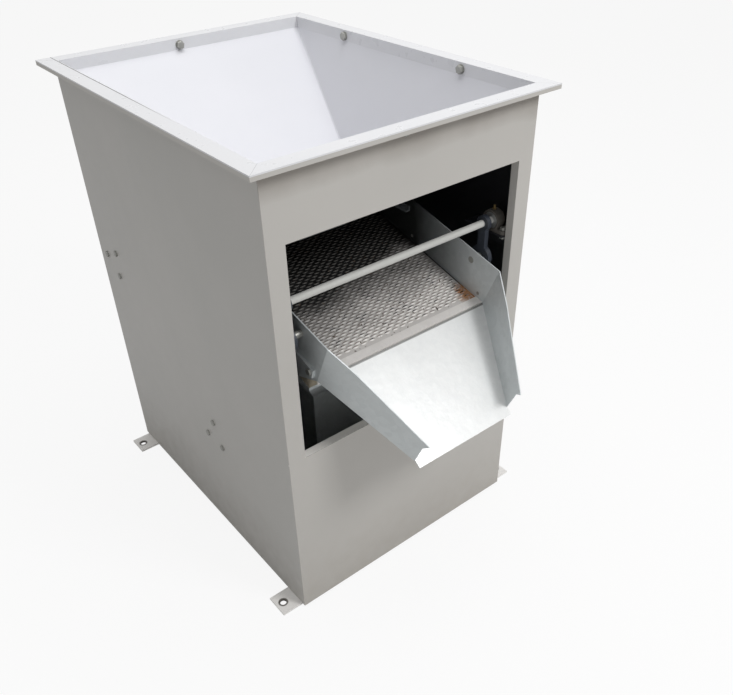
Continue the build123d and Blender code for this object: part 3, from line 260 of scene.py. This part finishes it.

# Feet: 4 mm flat bar, welded under the frame and sprayed thinly, so they look paler.
# A ring round each bolt hole is darkened, painted shade for the shadowed hole.
foot_enamel = stove_enamel("foot_enamel", "#FAF9F7", "#F0EEEB", 0.4, "#EAE7E2")
tree = foot_enamel.node_tree
shader = next(node for node in tree.nodes if node.type == "BSDF_PRINCIPLED")
place = add(tree, "ShaderNodeTexCoord").outputs["Object"]
folded = add(tree, "ShaderNodeVectorMath", {0: place}, operation="ABSOLUTE")
from_hole = add(tree, "ShaderNodeVectorMath", {0: folded.outputs[0], 1: (0.276, 0.288, 0.004)},
                operation="DISTANCE")
ring = add(tree, "ShaderNodeMapRange", {"Value": from_hole.outputs["Value"], "From Min": 10 * millimetre,
                                        "From Max": 8 * millimetre})
hole_painted_shade = add(tree, "ShaderNodeMix", {"Factor": ring.outputs[0],
                                     "A": shader.inputs["Base Color"].links[0].from_socket,
                                     "B": linear("#5F5B56")}, data_type="RGBA")
tree.links.new(hole_painted_shade.outputs["Result"], shader.inputs["Base Color"])
coat(foot_enamel, "mounting_feet")

# Base frame, bearing brackets and motor plate: angle and flat bar, brushed with black enamel.
# The brush leaves the coat a little uneven, so it shines in patches.
black_enamel = stove_enamel("black_brushed_enamel", "#1E1F22", "#26272B", 0.45, "#3A342C")
coat(black_enamel, "base_frame", "bearing_brackets", "motor_plate")

# Hopper: 1.5 mm sheet with a bright zinc grey finish, folded at the rim and welded at the corners.
# It is paler and glossier than the cabinet, so the sky shows in it as soft light patches.
hopper_enamel = stove_enamel("hopper_pale_enamel", "#E0E0E5", "#D9DADF", 0.3, "#8A8378")
coat(hopper_enamel, "hopper_sheets")

# Hopper collar and rim: four folded strips with mitred, ground corners. The left rim stands a
# little off the collar's fold, which leaves a dark open joint along its rear half.
rim_enamel = stove_enamel("rim_enamel", "#E2E2E4", "#DBDCDF", 0.28, "#8A8378")
tree = rim_enamel.node_tree
shader = next(node for node in tree.nodes if node.type == "BSDF_PRINCIPLED")
place = add(tree, "ShaderNodeTexCoord").outputs["Object"]
apart = add(tree, "ShaderNodeSeparateXYZ", {0: place})
folded = add(tree, "ShaderNodeVectorMath", {0: place}, operation="ABSOLUTE")
folded = add(tree, "ShaderNodeSeparateXYZ", {0: folded.outputs[0]})
on_top = add(tree, "ShaderNodeMath", {0: apart.outputs[2], 1: 0.8257}, operation="GREATER_THAN")
aside = add(tree, "ShaderNodeMath", {0: folded.outputs[1], 1: folded.outputs[0]}, operation="SUBTRACT")
mitre = add(tree, "ShaderNodeMath", {0: aside.outputs[0], 1: 0.0705, 2: 0.0004}, operation="COMPARE")
joint_line = add(tree, "ShaderNodeMath", {0: apart.outputs[0], 1: -0.2467, 2: 0.0008}, operation="COMPARE")
rear_half = add(tree, "ShaderNodeMapRange", {"Value": apart.outputs[1], "From Min": -0.12, "From Max": 0.05})
joint_line = add(tree, "ShaderNodeMath", {0: joint_line.outputs[0], 1: rear_half.outputs[0]},
                 operation="MULTIPLY")
mitre = add(tree, "ShaderNodeMath", {0: mitre.outputs[0], 1: 0.4}, operation="MULTIPLY")
lines = add(tree, "ShaderNodeMath", {0: mitre.outputs[0], 1: joint_line.outputs[0]}, operation="MAXIMUM")
lines = add(tree, "ShaderNodeMath", {0: lines.outputs[0], 1: on_top.outputs[0]}, operation="MULTIPLY")
lined = add(tree, "ShaderNodeMix", {"Factor": lines.outputs[0],
                                    "A": shader.inputs["Base Color"].links[0].from_socket,
                                    "B": linear("#3A3836")}, data_type="RGBA")
tree.links.new(lined.outputs["Result"], shader.inputs["Base Color"])
coat(rim_enamel, "hopper_frame")

# Deck sides, floor, lips and ducts: hot-dip galvanised sheet.
# Zinc crystals of about 9 mm give a faint blue-grey spangle, with dull wipe marks over it.
def galvanised(name, base, dark, roughness, metal):
    material, tree = blank_material(name)
    place = add(tree, "ShaderNodeTexCoord").outputs["Object"]
    crystals = add(tree, "ShaderNodeTexVoronoi", {"Vector": place, "Scale": 1 / (9 * millimetre)})
    flat = add(tree, "ShaderNodeSeparateColor", {0: crystals.outputs["Color"]})
    wipes = spread(tree, place, 60 * millimetre, 6)
    mixed = add(tree, "ShaderNodeMix", {"Factor": 0.65, "A": flat.outputs[0], "B": wipes.outputs[0]})
    tone = add(tree, "ShaderNodeMix", {"Factor": mixed.outputs["Result"], "A": linear(base),
                                       "B": linear(dark)}, data_type="RGBA")
    gloss = add(tree, "ShaderNodeMapRange", {"Value": mixed.outputs["Result"], "To Min": roughness - 0.06,
                                             "To Max": roughness + 0.1})
    bump = add(tree, "ShaderNodeBump", {"Height": wipes.outputs[0], "Strength": 0.35, "Distance": 0.003})
    zinc = add(tree, "ShaderNodeBsdfPrincipled", {"Base Color": tone.outputs["Result"], "Metallic": metal,
                                                  "Roughness": gloss.outputs[0], "Normal": bump.outputs[0]})
    add(tree, "ShaderNodeOutputMaterial", {"Surface": zinc.outputs[0]})
    return material


zinc_sheet = galvanised("galvanised_sheet", "#C9CECF", "#B6BBBC", 0.45, 0.3)
coat(zinc_sheet, "stone_spout", "deck_air_box", "air_plenum", "fan_scroll", "fan_side_left",
     "fan_side_right")
deck_zinc = galvanised("deck_sheet_painted_shade", "#D6DBDC", "#C4C9CA", 0.45, 0.2)
# Painted shade: this sheet darkens to near black towards the rear, for the shade inside the cabinet.
tree = deck_zinc.node_tree
shader = next(node for node in tree.nodes if node.type == "BSDF_PRINCIPLED")
place = add(tree, "ShaderNodeTexCoord").outputs["Object"]
apart = add(tree, "ShaderNodeSeparateXYZ", {0: place})
uneven = spread(tree, place, 80 * millimetre, 4)
uneven = add(tree, "ShaderNodeMath", {0: uneven.outputs[0], 1: 0.06}, operation="MULTIPLY")
inwards = add(tree, "ShaderNodeMath", {0: apart.outputs[1], 1: uneven.outputs[0]}, operation="ADD")
rear_painted_shade = add(tree, "ShaderNodeMapRange", {"Value": inwards.outputs[0], "From Min": -0.25, "From Max": -0.10})
rear_shaded = add(tree, "ShaderNodeMix", {"Factor": rear_painted_shade.outputs[0],
                                     "A": shader.inputs["Base Color"].links[0].from_socket,
                                     "B": linear("#2B2D2C")}, data_type="RGBA")
tree.links.new(rear_shaded.outputs["Result"], shader.inputs["Base Color"])
coat(deck_zinc, "deck_side_left", "deck_side_right", "deck_rear_wall", "deck_rail_left", "deck_rail_right")
# Painted shade: the gate and its guides are a darkened copy of the galvanised sheet.
shaded_zinc = galvanised("shaded_galvanised_sheet", "#6B6E6E", "#55585A", 0.5, 0.4)
coat(shaded_zinc, "gate_guides", "feed_gate")
bright_zinc = galvanised("bright_galvanised_sheet", "#EDEEED", "#DEE0E0", 0.32, 0.2)
tree = bright_zinc.node_tree
shader = next(node for node in tree.nodes if node.type == "BSDF_PRINCIPLED")
place = add(tree, "ShaderNodeTexCoord").outputs["Object"]
apart = add(tree, "ShaderNodeSeparateXYZ", {0: place})
# Painted shade: the floor is darkened from its fold at the lip inwards, for the shade in the crease under the lip.
fold_painted_shade = add(tree, "ShaderNodeMapRange", {"Value": apart.outputs[1], "From Min": -0.3092,
                                             "From Max": -0.3078, "To Max": 0.8})
fold_shaded = add(tree, "ShaderNodeMix", {"Factor": fold_painted_shade.outputs[0],
                                    "A": shader.inputs["Base Color"].links[0].from_socket,
                                    "B": linear("#4E4C49")}, data_type="RGBA")
tree.links.new(fold_shaded.outputs["Result"], shader.inputs["Base Color"])
coat(bright_zinc, "spout_floor")
lip_zinc = galvanised("rubbed_lip_sheet", "#F1EEEA", "#E2DEDA", 0.4, 0.05)
coat(lip_zinc, "deck_lip")

# Fish-scale screen: 1.5 mm steel sheet with rows of pressed scales, 16.5 mm wide and 5.5 mm apart,
# each open towards the high end. Its low end is painted light, near white with dust, and behind it is painted
# shade, where the hopper shades it.
# The raised scales are painted lighter than the sheet between them, and there is a patch of rust in its front right
# corner.
deck_slope = radians(14.8)
lip_place = Vector((0, -0.306, 0.4678))
along_deck = Vector((0, cos(deck_slope), sin(deck_slope)))
above_deck = Vector((0, -sin(deck_slope), cos(deck_slope)))


def on_deck(across, along, above):
    """A point of the deck, in metres, measured on the screen."""
    return lip_place + Vector((across, 0, 0)) + along * along_deck + above * above_deck


scale_pitch_across, scale_pitch_along = 16.5 * millimetre, 5.5 * millimetre
scale_width, scale_length, scale_rise = 14.0 * millimetre, 2.5 * millimetre, 1.2 * millimetre
slot_length = 2.9 * millimetre
screen_half, screen_start, screen_end = 0.1752, 0.0032, 0.583
sheet_thickness = 1.5 * millimetre
points, faces, dark_faces = [], [], []


def screen_block(x0, x1, y0, y1, z0, z1):
    """Corners and faces of a flat block of the sheet."""
    first = len(points)
    points.extend(on_deck(x, y, z) for z in (z0, z1) for y in (y0, y1) for x in (x0, x1))
    for corners in ((0, 2, 3, 1), (4, 5, 7, 6), (0, 1, 5, 4), (2, 6, 7, 3), (0, 4, 6, 2), (1, 3, 7, 5)):
        faces.append([first + corner for corner in corners])


screen_block(-screen_half, screen_half, screen_start, screen_end, -sheet_thickness, 0)
row_count = int((screen_end - 0.03) / scale_pitch_along)
steps = 6
for row in range(row_count):
    mouth = 0.022 + (row + 1) * scale_pitch_along
    count = 21 - row % 2
    for number in range(count):
        middle = (number - (count - 1) / 2) * scale_pitch_across
        first = len(points)
        for back, share in ((0.0, 1.0), (0.5, 0.82), (1.0, 0.0)):
            for step in range(steps + 1):
                swing = pi * step / steps
                across = middle - cos(swing) * scale_width / 2 * (1 - 0.2 * back)
                rise = sin(swing) * scale_rise * share + 0.00004
                bow = sin(swing) * scale_length * back
                points.append(on_deck(across, mouth - bow, rise))
        for ring in range(2):
            for step in range(steps):
                start = first + ring * (steps + 1) + step
                faces.append([start, start + 1, start + steps + 2, start + steps + 1])
        slot_first = len(points)
        for step in range(steps + 1):
            swing = pi * step / steps
            points.append(on_deck(middle - cos(swing) * scale_width / 2, mouth, 0.00006))
        for step in range(steps + 1):
            swing = pi * step / steps
            points.append(on_deck(middle - cos(swing) * scale_width / 2, mouth + slot_length * sin(swing),
                                  0.00006))
        for step in range(steps):
            faces.append([first + step, slot_first + step, slot_first + step + 1, first + step + 1])
            dark_faces.append(len(faces) - 1)
            outer = slot_first + steps + 1 + step
            faces.append([slot_first + step, slot_first + step + 1, outer + 1, outer])
            dark_faces.append(len(faces) - 1)


def towards_lip(tree, place):
    """Painted light mask: 0 in the painted shade behind the shaft and 1 on the painted bright low end, with an
    uneven edge between.
    """
    apart = add(tree, "ShaderNodeSeparateXYZ", {0: place})
    ragged_shade_edge = spread(tree, place, 60 * millimetre, 6)
    shift = add(tree, "ShaderNodeMath", {0: ragged_shade_edge.outputs[0], 1: 0.11}, operation="MULTIPLY")
    slant = add(tree, "ShaderNodeMath", {0: apart.outputs[0], 1: 0.16}, operation="MULTIPLY")
    depth = add(tree, "ShaderNodeMath", {0: apart.outputs[1], 1: shift.outputs[0]}, operation="SUBTRACT")
    depth = add(tree, "ShaderNodeMath", {0: depth.outputs[0], 1: slant.outputs[0]}, operation="SUBTRACT")
    return add(tree, "ShaderNodeMapRange", {"Value": depth.outputs[0], "From Min": -0.20,
                                            "From Max": -0.325}).outputs[0]


screen_steel, tree = blank_material("dusty_pressed_steel_painted_light")
place = add(tree, "ShaderNodeTexCoord").outputs["Object"]
brightness = towards_lip(tree, place)
# Painted light and shade: the sheet and its raised scales go from near black behind to near white at the low end,
# with the scales painted lighter.
hollow = add(tree, "ShaderNodeMix", {"Factor": brightness, "A": linear("#0C0B0A"), "B": linear("#D6D2CE")},
             data_type="RGBA")
crown = add(tree, "ShaderNodeMix", {"Factor": brightness, "A": linear("#55534E"), "B": linear("#F2EFEC")},
            data_type="RGBA")
height = add(tree, "ShaderNodeVectorMath", {0: place, 1: tuple(above_deck)}, operation="DOT_PRODUCT")
raised = add(tree, "ShaderNodeMapRange", {"Value": height.outputs["Value"],
                                          "From Min": lip_place.dot(above_deck) + 0.1 * millimetre,
                                          "From Max": lip_place.dot(above_deck) + 1.1 * millimetre})
steel = add(tree, "ShaderNodeMix", {"Factor": raised.outputs[0], "A": hollow.outputs["Result"],
                                    "B": crown.outputs["Result"]}, data_type="RGBA")
spots = spread(tree, place, 6 * millimetre, 3)
specks = add(tree, "ShaderNodeMapRange", {"Value": spots.outputs[0], "From Min": 0.64, "From Max": 0.7})
speckled = add(tree, "ShaderNodeMix", {"Factor": specks.outputs[0], "A": steel.outputs["Result"],
                                       "B": linear("#4A3A2C")}, data_type="RGBA")
apart = add(tree, "ShaderNodeSeparateXYZ", {0: place})
edge = add(tree, "ShaderNodeMath", {0: apart.outputs[0]}, operation="ABSOLUTE")
edge = add(tree, "ShaderNodeMapRange", {"Value": edge.outputs[0], "From Min": 0.1722, "From Max": 0.1732})
edged = add(tree, "ShaderNodeMix", {"Factor": edge.outputs[0], "A": speckled.outputs["Result"],
                                    "B": linear("#1A1714")}, data_type="RGBA")
corner = add(tree, "ShaderNodeVectorMath", {0: place, 1: (0.176, -0.286, 0.474)}, operation="SUBTRACT")
stretched = add(tree, "ShaderNodeVectorMath", {0: corner.outputs[0], 1: (1.0, 0.75, 0.75)}, operation="MULTIPLY")
corner = add(tree, "ShaderNodeVectorMath", {0: stretched.outputs[0]}, operation="LENGTH")
near_corner = add(tree, "ShaderNodeMapRange", {"Value": corner.outputs["Value"], "From Min": 50 * millimetre,
                                               "From Max": 8 * millimetre})
rough_edge = spread(tree, place, 7 * millimetre, 6)
rust_share = add(tree, "ShaderNodeMath", {0: near_corner.outputs[0], 1: rough_edge.outputs[0]},
                 operation="MULTIPLY")
rust_share = add(tree, "ShaderNodeMapRange", {"Value": rust_share.outputs[0], "From Min": 0.18,
                                              "From Max": 0.4})
rust_tone = spread(tree, place, 4 * millimetre, 4)
rust = add(tree, "ShaderNodeMix", {"Factor": rust_tone.outputs[0], "A": linear("#8A5228"),
                                   "B": linear("#D6A57A")}, data_type="RGBA")
rusted = add(tree, "ShaderNodeMix", {"Factor": rust_share.outputs[0], "A": edged.outputs["Result"],
                                     "B": rust.outputs["Result"]}, data_type="RGBA")
steel_gloss = add(tree, "ShaderNodeMapRange", {"Value": spots.outputs[0], "To Min": 0.42, "To Max": 0.6})
surface = add(tree, "ShaderNodeBsdfPrincipled", {"Base Color": rusted.outputs["Result"], "Metallic": 0.15,
                                                 "Roughness": steel_gloss.outputs[0]})
add(tree, "ShaderNodeOutputMaterial", {"Surface": surface.outputs[0]})

slot_dark, tree = blank_material("scale_slot_shadow")
place = add(tree, "ShaderNodeTexCoord").outputs["Object"]
# The slot faces are near black, painted shade under the scales. Towards the low end they lift to a dust colour
# where the screen's painted light falls.
brightness = towards_lip(tree, place)
clogged = spread(tree, place, 14 * millimetre, 4)
dust_and_painted_light = add(tree, "ShaderNodeMapRange", {"Value": clogged.outputs[0], "From Min": 0.62, "From Max": 0.52})
dust_and_painted_light = add(tree, "ShaderNodeMath", {0: dust_and_painted_light.outputs[0], 1: brightness}, operation="MULTIPLY")
tone = add(tree, "ShaderNodeMix", {"Factor": dust_and_painted_light.outputs[0], "A": linear("#060605"), "B": linear("#A09890")},
           data_type="RGBA")
surface = add(tree, "ShaderNodeBsdfPrincipled", {"Base Color": tone.outputs["Result"], "Roughness": 0.9})
add(tree, "ShaderNodeOutputMaterial", {"Surface": surface.outputs[0]})

screen = mesh_piece("fish_scale_sheet", points, faces, screen_steel, "deck")
screen.data.materials.append(slot_dark)
for index in dark_faces:
    screen.data.polygons[index].material_index = 1
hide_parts("fish_scale_screen")
bar_steel = stove_enamel("support_bar_dull_steel", "#4B4945", "#3C3A37", 0.6, "#2A2522")
coat(bar_steel, "screen_support_bars")


# Shafts, eccentric hubs and bearings: turned and ground carbon steel.
# Fine grinding rings, drawn 0.5 mm apart so that they show, run round each shaft.
def ground_steel(name, base, dark, roughness, metal):
    material, tree = blank_material(name)
    place = add(tree, "ShaderNodeTexCoord").outputs["Object"]
    drawn = add(tree, "ShaderNodeVectorMath", {0: place, 1: (2000, 60, 60)}, operation="MULTIPLY")
    rings = add(tree, "ShaderNodeTexNoise", {"Vector": drawn.outputs[0], "Scale": 1, "Detail": 3})
    stain = spread(tree, place, 35 * millimetre, 5)
    mixed = add(tree, "ShaderNodeMix", {"Factor": 0.5, "A": rings.outputs[0], "B": stain.outputs[0]})
    tone = add(tree, "ShaderNodeMix", {"Factor": mixed.outputs["Result"], "A": linear(base),
                                       "B": linear(dark)}, data_type="RGBA")
    gloss = add(tree, "ShaderNodeMapRange", {"Value": mixed.outputs["Result"], "To Min": roughness - 0.05,
                                             "To Max": roughness + 0.12})
    metal = add(tree, "ShaderNodeBsdfPrincipled", {"Base Color": tone.outputs["Result"], "Metallic": metal,
                                                   "Roughness": gloss.outputs[0]})
    add(tree, "ShaderNodeOutputMaterial", {"Surface": metal.outputs[0]})
    return material


shaft_steel = ground_steel("ground_shaft_steel", "#DCDCD8", "#C4C4C0", 0.4, 0.6)
coat(shaft_steel, "fan_shaft", "eccentric_shaft", "motor_shaft", "eccentric_hubs")
painted_bar = ground_steel("dull_rocker_bar", "#CFCFCB", "#C2C2BE", 0.62, 0.1)
coat(painted_bar, "rocker_shaft")
bearing_steel = ground_steel("pressed_bearing_steel", "#B9BABA", "#8D8E8E", 0.35, 0.6)
coat(bearing_steel, "rocker_bearing_inserts", "fan_bearing_left", "fan_bearing_right",
     "eccentric_bearing_left", "eccentric_bearing_right")
zinc_plate = ground_steel("zinc_plated_fastener", "#B4B4AF", "#8A8A85", 0.4, 0.6)
coat(zinc_plate, "hopper_collar_bolts", "deck_rail_bolts", "deck_pins", "rocker_bearing_bolts",
     "wall_bearing_bolts")


# Collar bolts: six zinc plated M8 bolts with 16 mm washers, heads inside the hopper and nuts
# outside under the flange. Each head has its 30 degree chamfer.
def spun(points, faces, start, direction, profile, sides):
    """Adds a profile of (along, radius), spun round a line from its start, to points and faces."""
    line = Vector(direction).normalized()
    aside = line.orthogonal().normalized()
    other = line.cross(aside)
    first = len(points)
    for along, radius in profile:
        for side in range(sides):
            turn = 2 * pi * (side + 0.5) / sides
            points.append(Vector(start) + line * along + radius * (cos(turn) * aside + sin(turn) * other))
    for ring in range(len(profile) - 1):
        for side in range(sides):
            after = (side + 1) % sides
            low, high = first + ring * sides, first + (ring + 1) * sides
            faces.append([low + side, low + after, high + after, high + side])
    faces.append([first + side for side in reversed(range(sides))])
    faces.append([first + (len(profile) - 1) * sides + side for side in range(sides)])


head_corner = 13 * millimetre / 2 / cos(pi / 6)
washer_radius, washer_thickness, head_height = 8 * millimetre, 1.5 * millimetre, 5.3 * millimetre
collar_x, collar_y, wall_gap, bolt_z = 0.245, 0.315, 0.005, 0.815
points, faces = [], []
for start, inward in (((collar_x, -0.1565, bolt_z), (-1, 0, 0)), ((collar_x, 0.1565, bolt_z), (-1, 0, 0)),
                      ((-collar_x, -0.1565, bolt_z), (1, 0, 0)), ((-collar_x, 0.1565, bolt_z), (1, 0, 0)),
                      ((-0.018, collar_y, bolt_z), (0, -1, 0)), ((-0.018, -collar_y, bolt_z), (0, 1, 0))):
    outside = Vector(start) - wall_gap * Vector(inward)
    outward = -Vector(inward)
    spun(points, faces, start, inward, ((0, washer_radius), (washer_thickness, washer_radius)), 24)
    spun(points, faces, Vector(start) + washer_thickness * Vector(inward), inward,
         ((0, head_corner), (head_height - 0.9 * millimetre, head_corner), (head_height, head_corner * 0.84)), 6)
    spun(points, faces, outside, inward, ((0, 4 * millimetre), (wall_gap, 4 * millimetre)), 16)
    spun(points, faces, outside, outward,
         ((0, head_corner), (head_height - 0.9 * millimetre, head_corner), (head_height, head_corner * 0.84)), 6)
collar_bolts = mesh_piece("collar_bolt_set", points, faces, zinc_plate, "cabinet")
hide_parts("hopper_collar_bolts")

# Hopper seams: one run of weld in each inner corner of the hopper, painted over.
# The bead is 2.4 mm across, and its ripples are 3 mm apart.
seam_corners = (((-0.145, -0.058), (-0.245, -0.315)), ((0.145, -0.058), (0.245, -0.315)),
                ((0.145, 0.002), (0.245, 0.315)), ((-0.145, 0.002), (-0.245, 0.315)))
throat_z, collar_z, bead, ripple_pitch = 0.5965, 0.8065, 1.2 * millimetre, 3 * millimetre
points, faces = [], []
for (x0, y0), (x1, y1) in seam_corners:
    seam_start, seam_end = Vector((x0, y0, throat_z)), Vector((x1, y1, collar_z))
    seam = seam_end - seam_start
    beads = int(seam.length / ripple_pitch)
    profile = [(0.004, bead * 0.6)]
    for number in range(2, beads):
        profile.append((number * ripple_pitch, bead * (0.8 + 0.1 * sin(number * 1.7))))
        profile.append(((number + 0.5) * ripple_pitch, bead * 1.05))
    spun(points, faces, seam_start, seam, profile, 8)
weld = mesh_piece("hopper_seam_welds", points, faces, hopper_enamel, "cabinet", smooth=True)

# Pillow blocks, hanger arms, rods, pulleys and motor frame: grey iron castings with a thin coat.
# Sand casting leaves a 1.5 mm grain that the paint rounds over.
def cast_iron(name, base, dark, roughness):
    material, tree = blank_material(name)
    place = add(tree, "ShaderNodeTexCoord").outputs["Object"]
    sand = spread(tree, place, 1.5 * millimetre, 3)
    patches = spread(tree, place, 30 * millimetre, 4)
    tone = add(tree, "ShaderNodeMix", {"Factor": patches.outputs[0], "A": linear(base), "B": linear(dark)},
               data_type="RGBA")
    bump = add(tree, "ShaderNodeBump", {"Height": sand.outputs[0], "Strength": 0.5, "Distance": 0.0004})
    iron = add(tree, "ShaderNodeBsdfPrincipled", {"Base Color": tone.outputs["Result"],
                                                  "Roughness": roughness, "Normal": bump.outputs[0]})
    add(tree, "ShaderNodeOutputMaterial", {"Surface": iron.outputs[0]})
    return material


black_iron = cast_iron("black_painted_casting", "#1A1A1C", "#2A2A2D", 0.5)
coat(black_iron, "connecting_rod_left", "connecting_rod_right", "fan_rotor")
dusty_iron = cast_iron("dusty_casting", "#4B4844", "#66625C", 0.6)
coat(dusty_iron, "rocker_bearing_left", "rocker_bearing_right")

# Grease nipples: one brass nipple on the crown of each pillow block, with its ball seat.
# Old brass is brown where the grease has kept the dust.
brass = cast_iron("tarnished_brass", "#7A6436", "#4F4228", 0.4)
rocker_y, rocker_z, block_x, crown = -0.27301, 0.59901, 0.224, 18 * millimetre
points, faces = [], []
for side in (-1, 1):
    spun(points, faces, (side * block_x, rocker_y, rocker_z + crown - 0.3 * millimetre), (0, 0, 1),
         ((0, 3.4 * millimetre), (3 * millimetre, 3.4 * millimetre)), 6)
    spun(points, faces, (side * block_x, rocker_y, rocker_z + crown + 2.7 * millimetre), (0, 0, 1),
         ((0, 1.8 * millimetre), (2 * millimetre, 1.6 * millimetre), (3 * millimetre, 2.2 * millimetre),
          (4.4 * millimetre, 2.2 * millimetre), (5.2 * millimetre, 1.2 * millimetre)), 16)
nipples = mesh_piece("grease_nipples", points, faces, brass, "cabinet", smooth=False)
arm_iron = cast_iron("blue_black_casting", "#2A2E36", "#3C424C", 0.45)
coat(arm_iron, "hanger_arms", "fan_pulley", "eccentric_pulley", "motor_pulley")
motor_iron = cast_iron("motor_frame_casting", "#3B4652", "#46525F", 0.45)
coat(motor_iron, "motor_body")


# Belts, bushes and terminal box: moulded black rubber and moulded black phenolic plastic.
# Rubber is dull and dusty; the plastic has a fine 0.8 mm spark texture.
def moulded_black(name, base, dust, roughness, texture):
    material, tree = blank_material(name)
    place = add(tree, "ShaderNodeTexCoord").outputs["Object"]
    texture_noise = spread(tree, place, texture, 2)
    powder = spread(tree, place, 22 * millimetre, 6)
    tone = add(tree, "ShaderNodeMix", {"Factor": powder.outputs[0], "A": linear(base), "B": linear(dust)},
               data_type="RGBA")
    bump = add(tree, "ShaderNodeBump", {"Height": texture_noise.outputs[0], "Strength": 0.3,
                                        "Distance": 0.0003})
    black = add(tree, "ShaderNodeBsdfPrincipled", {"Base Color": tone.outputs["Result"],
                                                   "Roughness": roughness, "Normal": bump.outputs[0]})
    add(tree, "ShaderNodeOutputMaterial", {"Surface": black.outputs[0]})
    return material


belt_rubber = moulded_black("belt_rubber", "#141414", "#2B2926", 0.8, 1.2 * millimetre)
coat(belt_rubber, "fan_belt", "eccentric_belt", "rod_bush_left", "rod_bush_right")
phenolic = moulded_black("black_phenolic", "#111112", "#1E1E1F", 0.5, 0.8 * millimetre)
coat(phenolic, "motor_terminal_box")
lid_low, lid_high, lid_half, lid_x, lid_y = 0.1925, 0.1966, 35.6 * millimetre, -0.010, 0.190
lid_corner, lid_edge = 5.6 * millimetre, 0.8 * millimetre
points, faces = [], []
for height, grow in ((lid_low, 0), (lid_high - lid_edge, 0), (lid_high, -lid_edge)):
    for corner in range(4):
        for step in range(6):
            turn = pi / 2 * (corner + step / 5)
            reach_x = (1, -1, -1, 1)[corner] * (lid_half - lid_corner)
            reach_y = (1, 1, -1, -1)[corner] * (lid_half - lid_corner)
            points.append((lid_x + reach_x + (lid_corner + grow) * cos(turn),
                           lid_y + reach_y + (lid_corner + grow) * sin(turn), height))
for ring in range(2):
    for step in range(24):
        after = (step + 1) % 24
        faces.append([ring * 24 + step, ring * 24 + after, (ring + 1) * 24 + after, (ring + 1) * 24 + step])
faces.append([48 + step for step in range(24)])
lid = mesh_piece("terminal_box_lid", points, faces, phenolic, "cabinet")
points, faces = [], []
for side_x in (-1, 1):
    for side_y in (-1, 1):
        centre = (lid_x + side_x * 28 * millimetre, lid_y + side_y * 28 * millimetre, lid_high)
        spun(points, faces, centre, (0, 0, 1), ((0, 3.5 * millimetre), (1.2 * millimetre, 3.3 * millimetre),
                                                (1.8 * millimetre, 2.2 * millimetre)), 20)
screws = mesh_piece("terminal_lid_screws", points, faces, zinc_plate, "cabinet")

# Air sleeve: a strip of coated canvas round the gap between the fixed duct and the moving deck,
# clamped to both. It hangs with a slack fold outwards and a plain weave of 1.2 mm threads.
sleeve_low, sleeve_high = -0.0518, -0.0302
box_half, box_start, box_end = 0.1665, 0.030, 0.525
canvas, tree = blank_material("coated_canvas")
place = add(tree, "ShaderNodeTexCoord").outputs["Object"]
warp = add(tree, "ShaderNodeTexWave", {"Vector": place, "Scale": 1 / (1.2 * millimetre) / 20, "Distortion": 0.5},
           bands_direction="Y")
weft = add(tree, "ShaderNodeTexWave", {"Vector": place, "Scale": 1 / (1.2 * millimetre) / 20, "Distortion": 0.5},
           bands_direction="Z")
weave = add(tree, "ShaderNodeMix", {"Factor": 0.5, "A": warp.outputs[1], "B": weft.outputs[1]})
stains = spread(tree, place, 40 * millimetre, 5)
tone = add(tree, "ShaderNodeMix", {"Factor": stains.outputs[0], "A": linear("#B8AE9A"), "B": linear("#8F8573")},
           data_type="RGBA")
bump = add(tree, "ShaderNodeBump", {"Height": weave.outputs["Result"], "Strength": 0.4, "Distance": 0.0004})
cloth = add(tree, "ShaderNodeBsdfPrincipled", {"Base Color": tone.outputs["Result"], "Roughness": 0.9,
                                               "Normal": bump.outputs[0], "Sheen Weight": 0.2})
add(tree, "ShaderNodeOutputMaterial", {"Surface": cloth.outputs[0]})
outline = []
for start, finish in (((-box_half, box_start), (box_half, box_start)), ((box_half, box_start), (box_half, box_end)),
                      ((box_half, box_end), (-box_half, box_end)), ((-box_half, box_end), (-box_half, box_start))):
    for step in range(40):
        share = step / 40
        outline.append((start[0] + (finish[0] - start[0]) * share, start[1] + (finish[1] - start[1]) * share))
rings = 8
inset = 0.0009
middle_along = (box_start + box_end) / 2
points, faces = [], []
for ring in range(rings + 1):
    share = ring / rings
    height = sleeve_low + (sleeve_high - sleeve_low) * share
    for place_on, (across, along) in enumerate(outline):
        pucker = 0.0004 * sin(place_on * 0.9) + 0.0003 * sin(place_on * 0.37 + 1)
        slack = (-inset + pucker) * 1.0 - 0.0012 * sin(pi * share)
        across_in = across * (1 + slack / box_half)
        along_in = middle_along + (along - middle_along) * (1 + slack / (box_end - middle_along))
        points.append(on_deck(across_in, along_in, height))
around = len(outline)
for ring in range(rings):
    for step in range(around):
        after = (step + 1) % around
        faces.append([ring * around + step, ring * around + after, (ring + 1) * around + after,
                      (ring + 1) * around + step])
sleeve = mesh_piece("canvas_air_sleeve", points, faces, canvas, smooth=True)
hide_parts("air_sleeve")
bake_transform(sleeve)
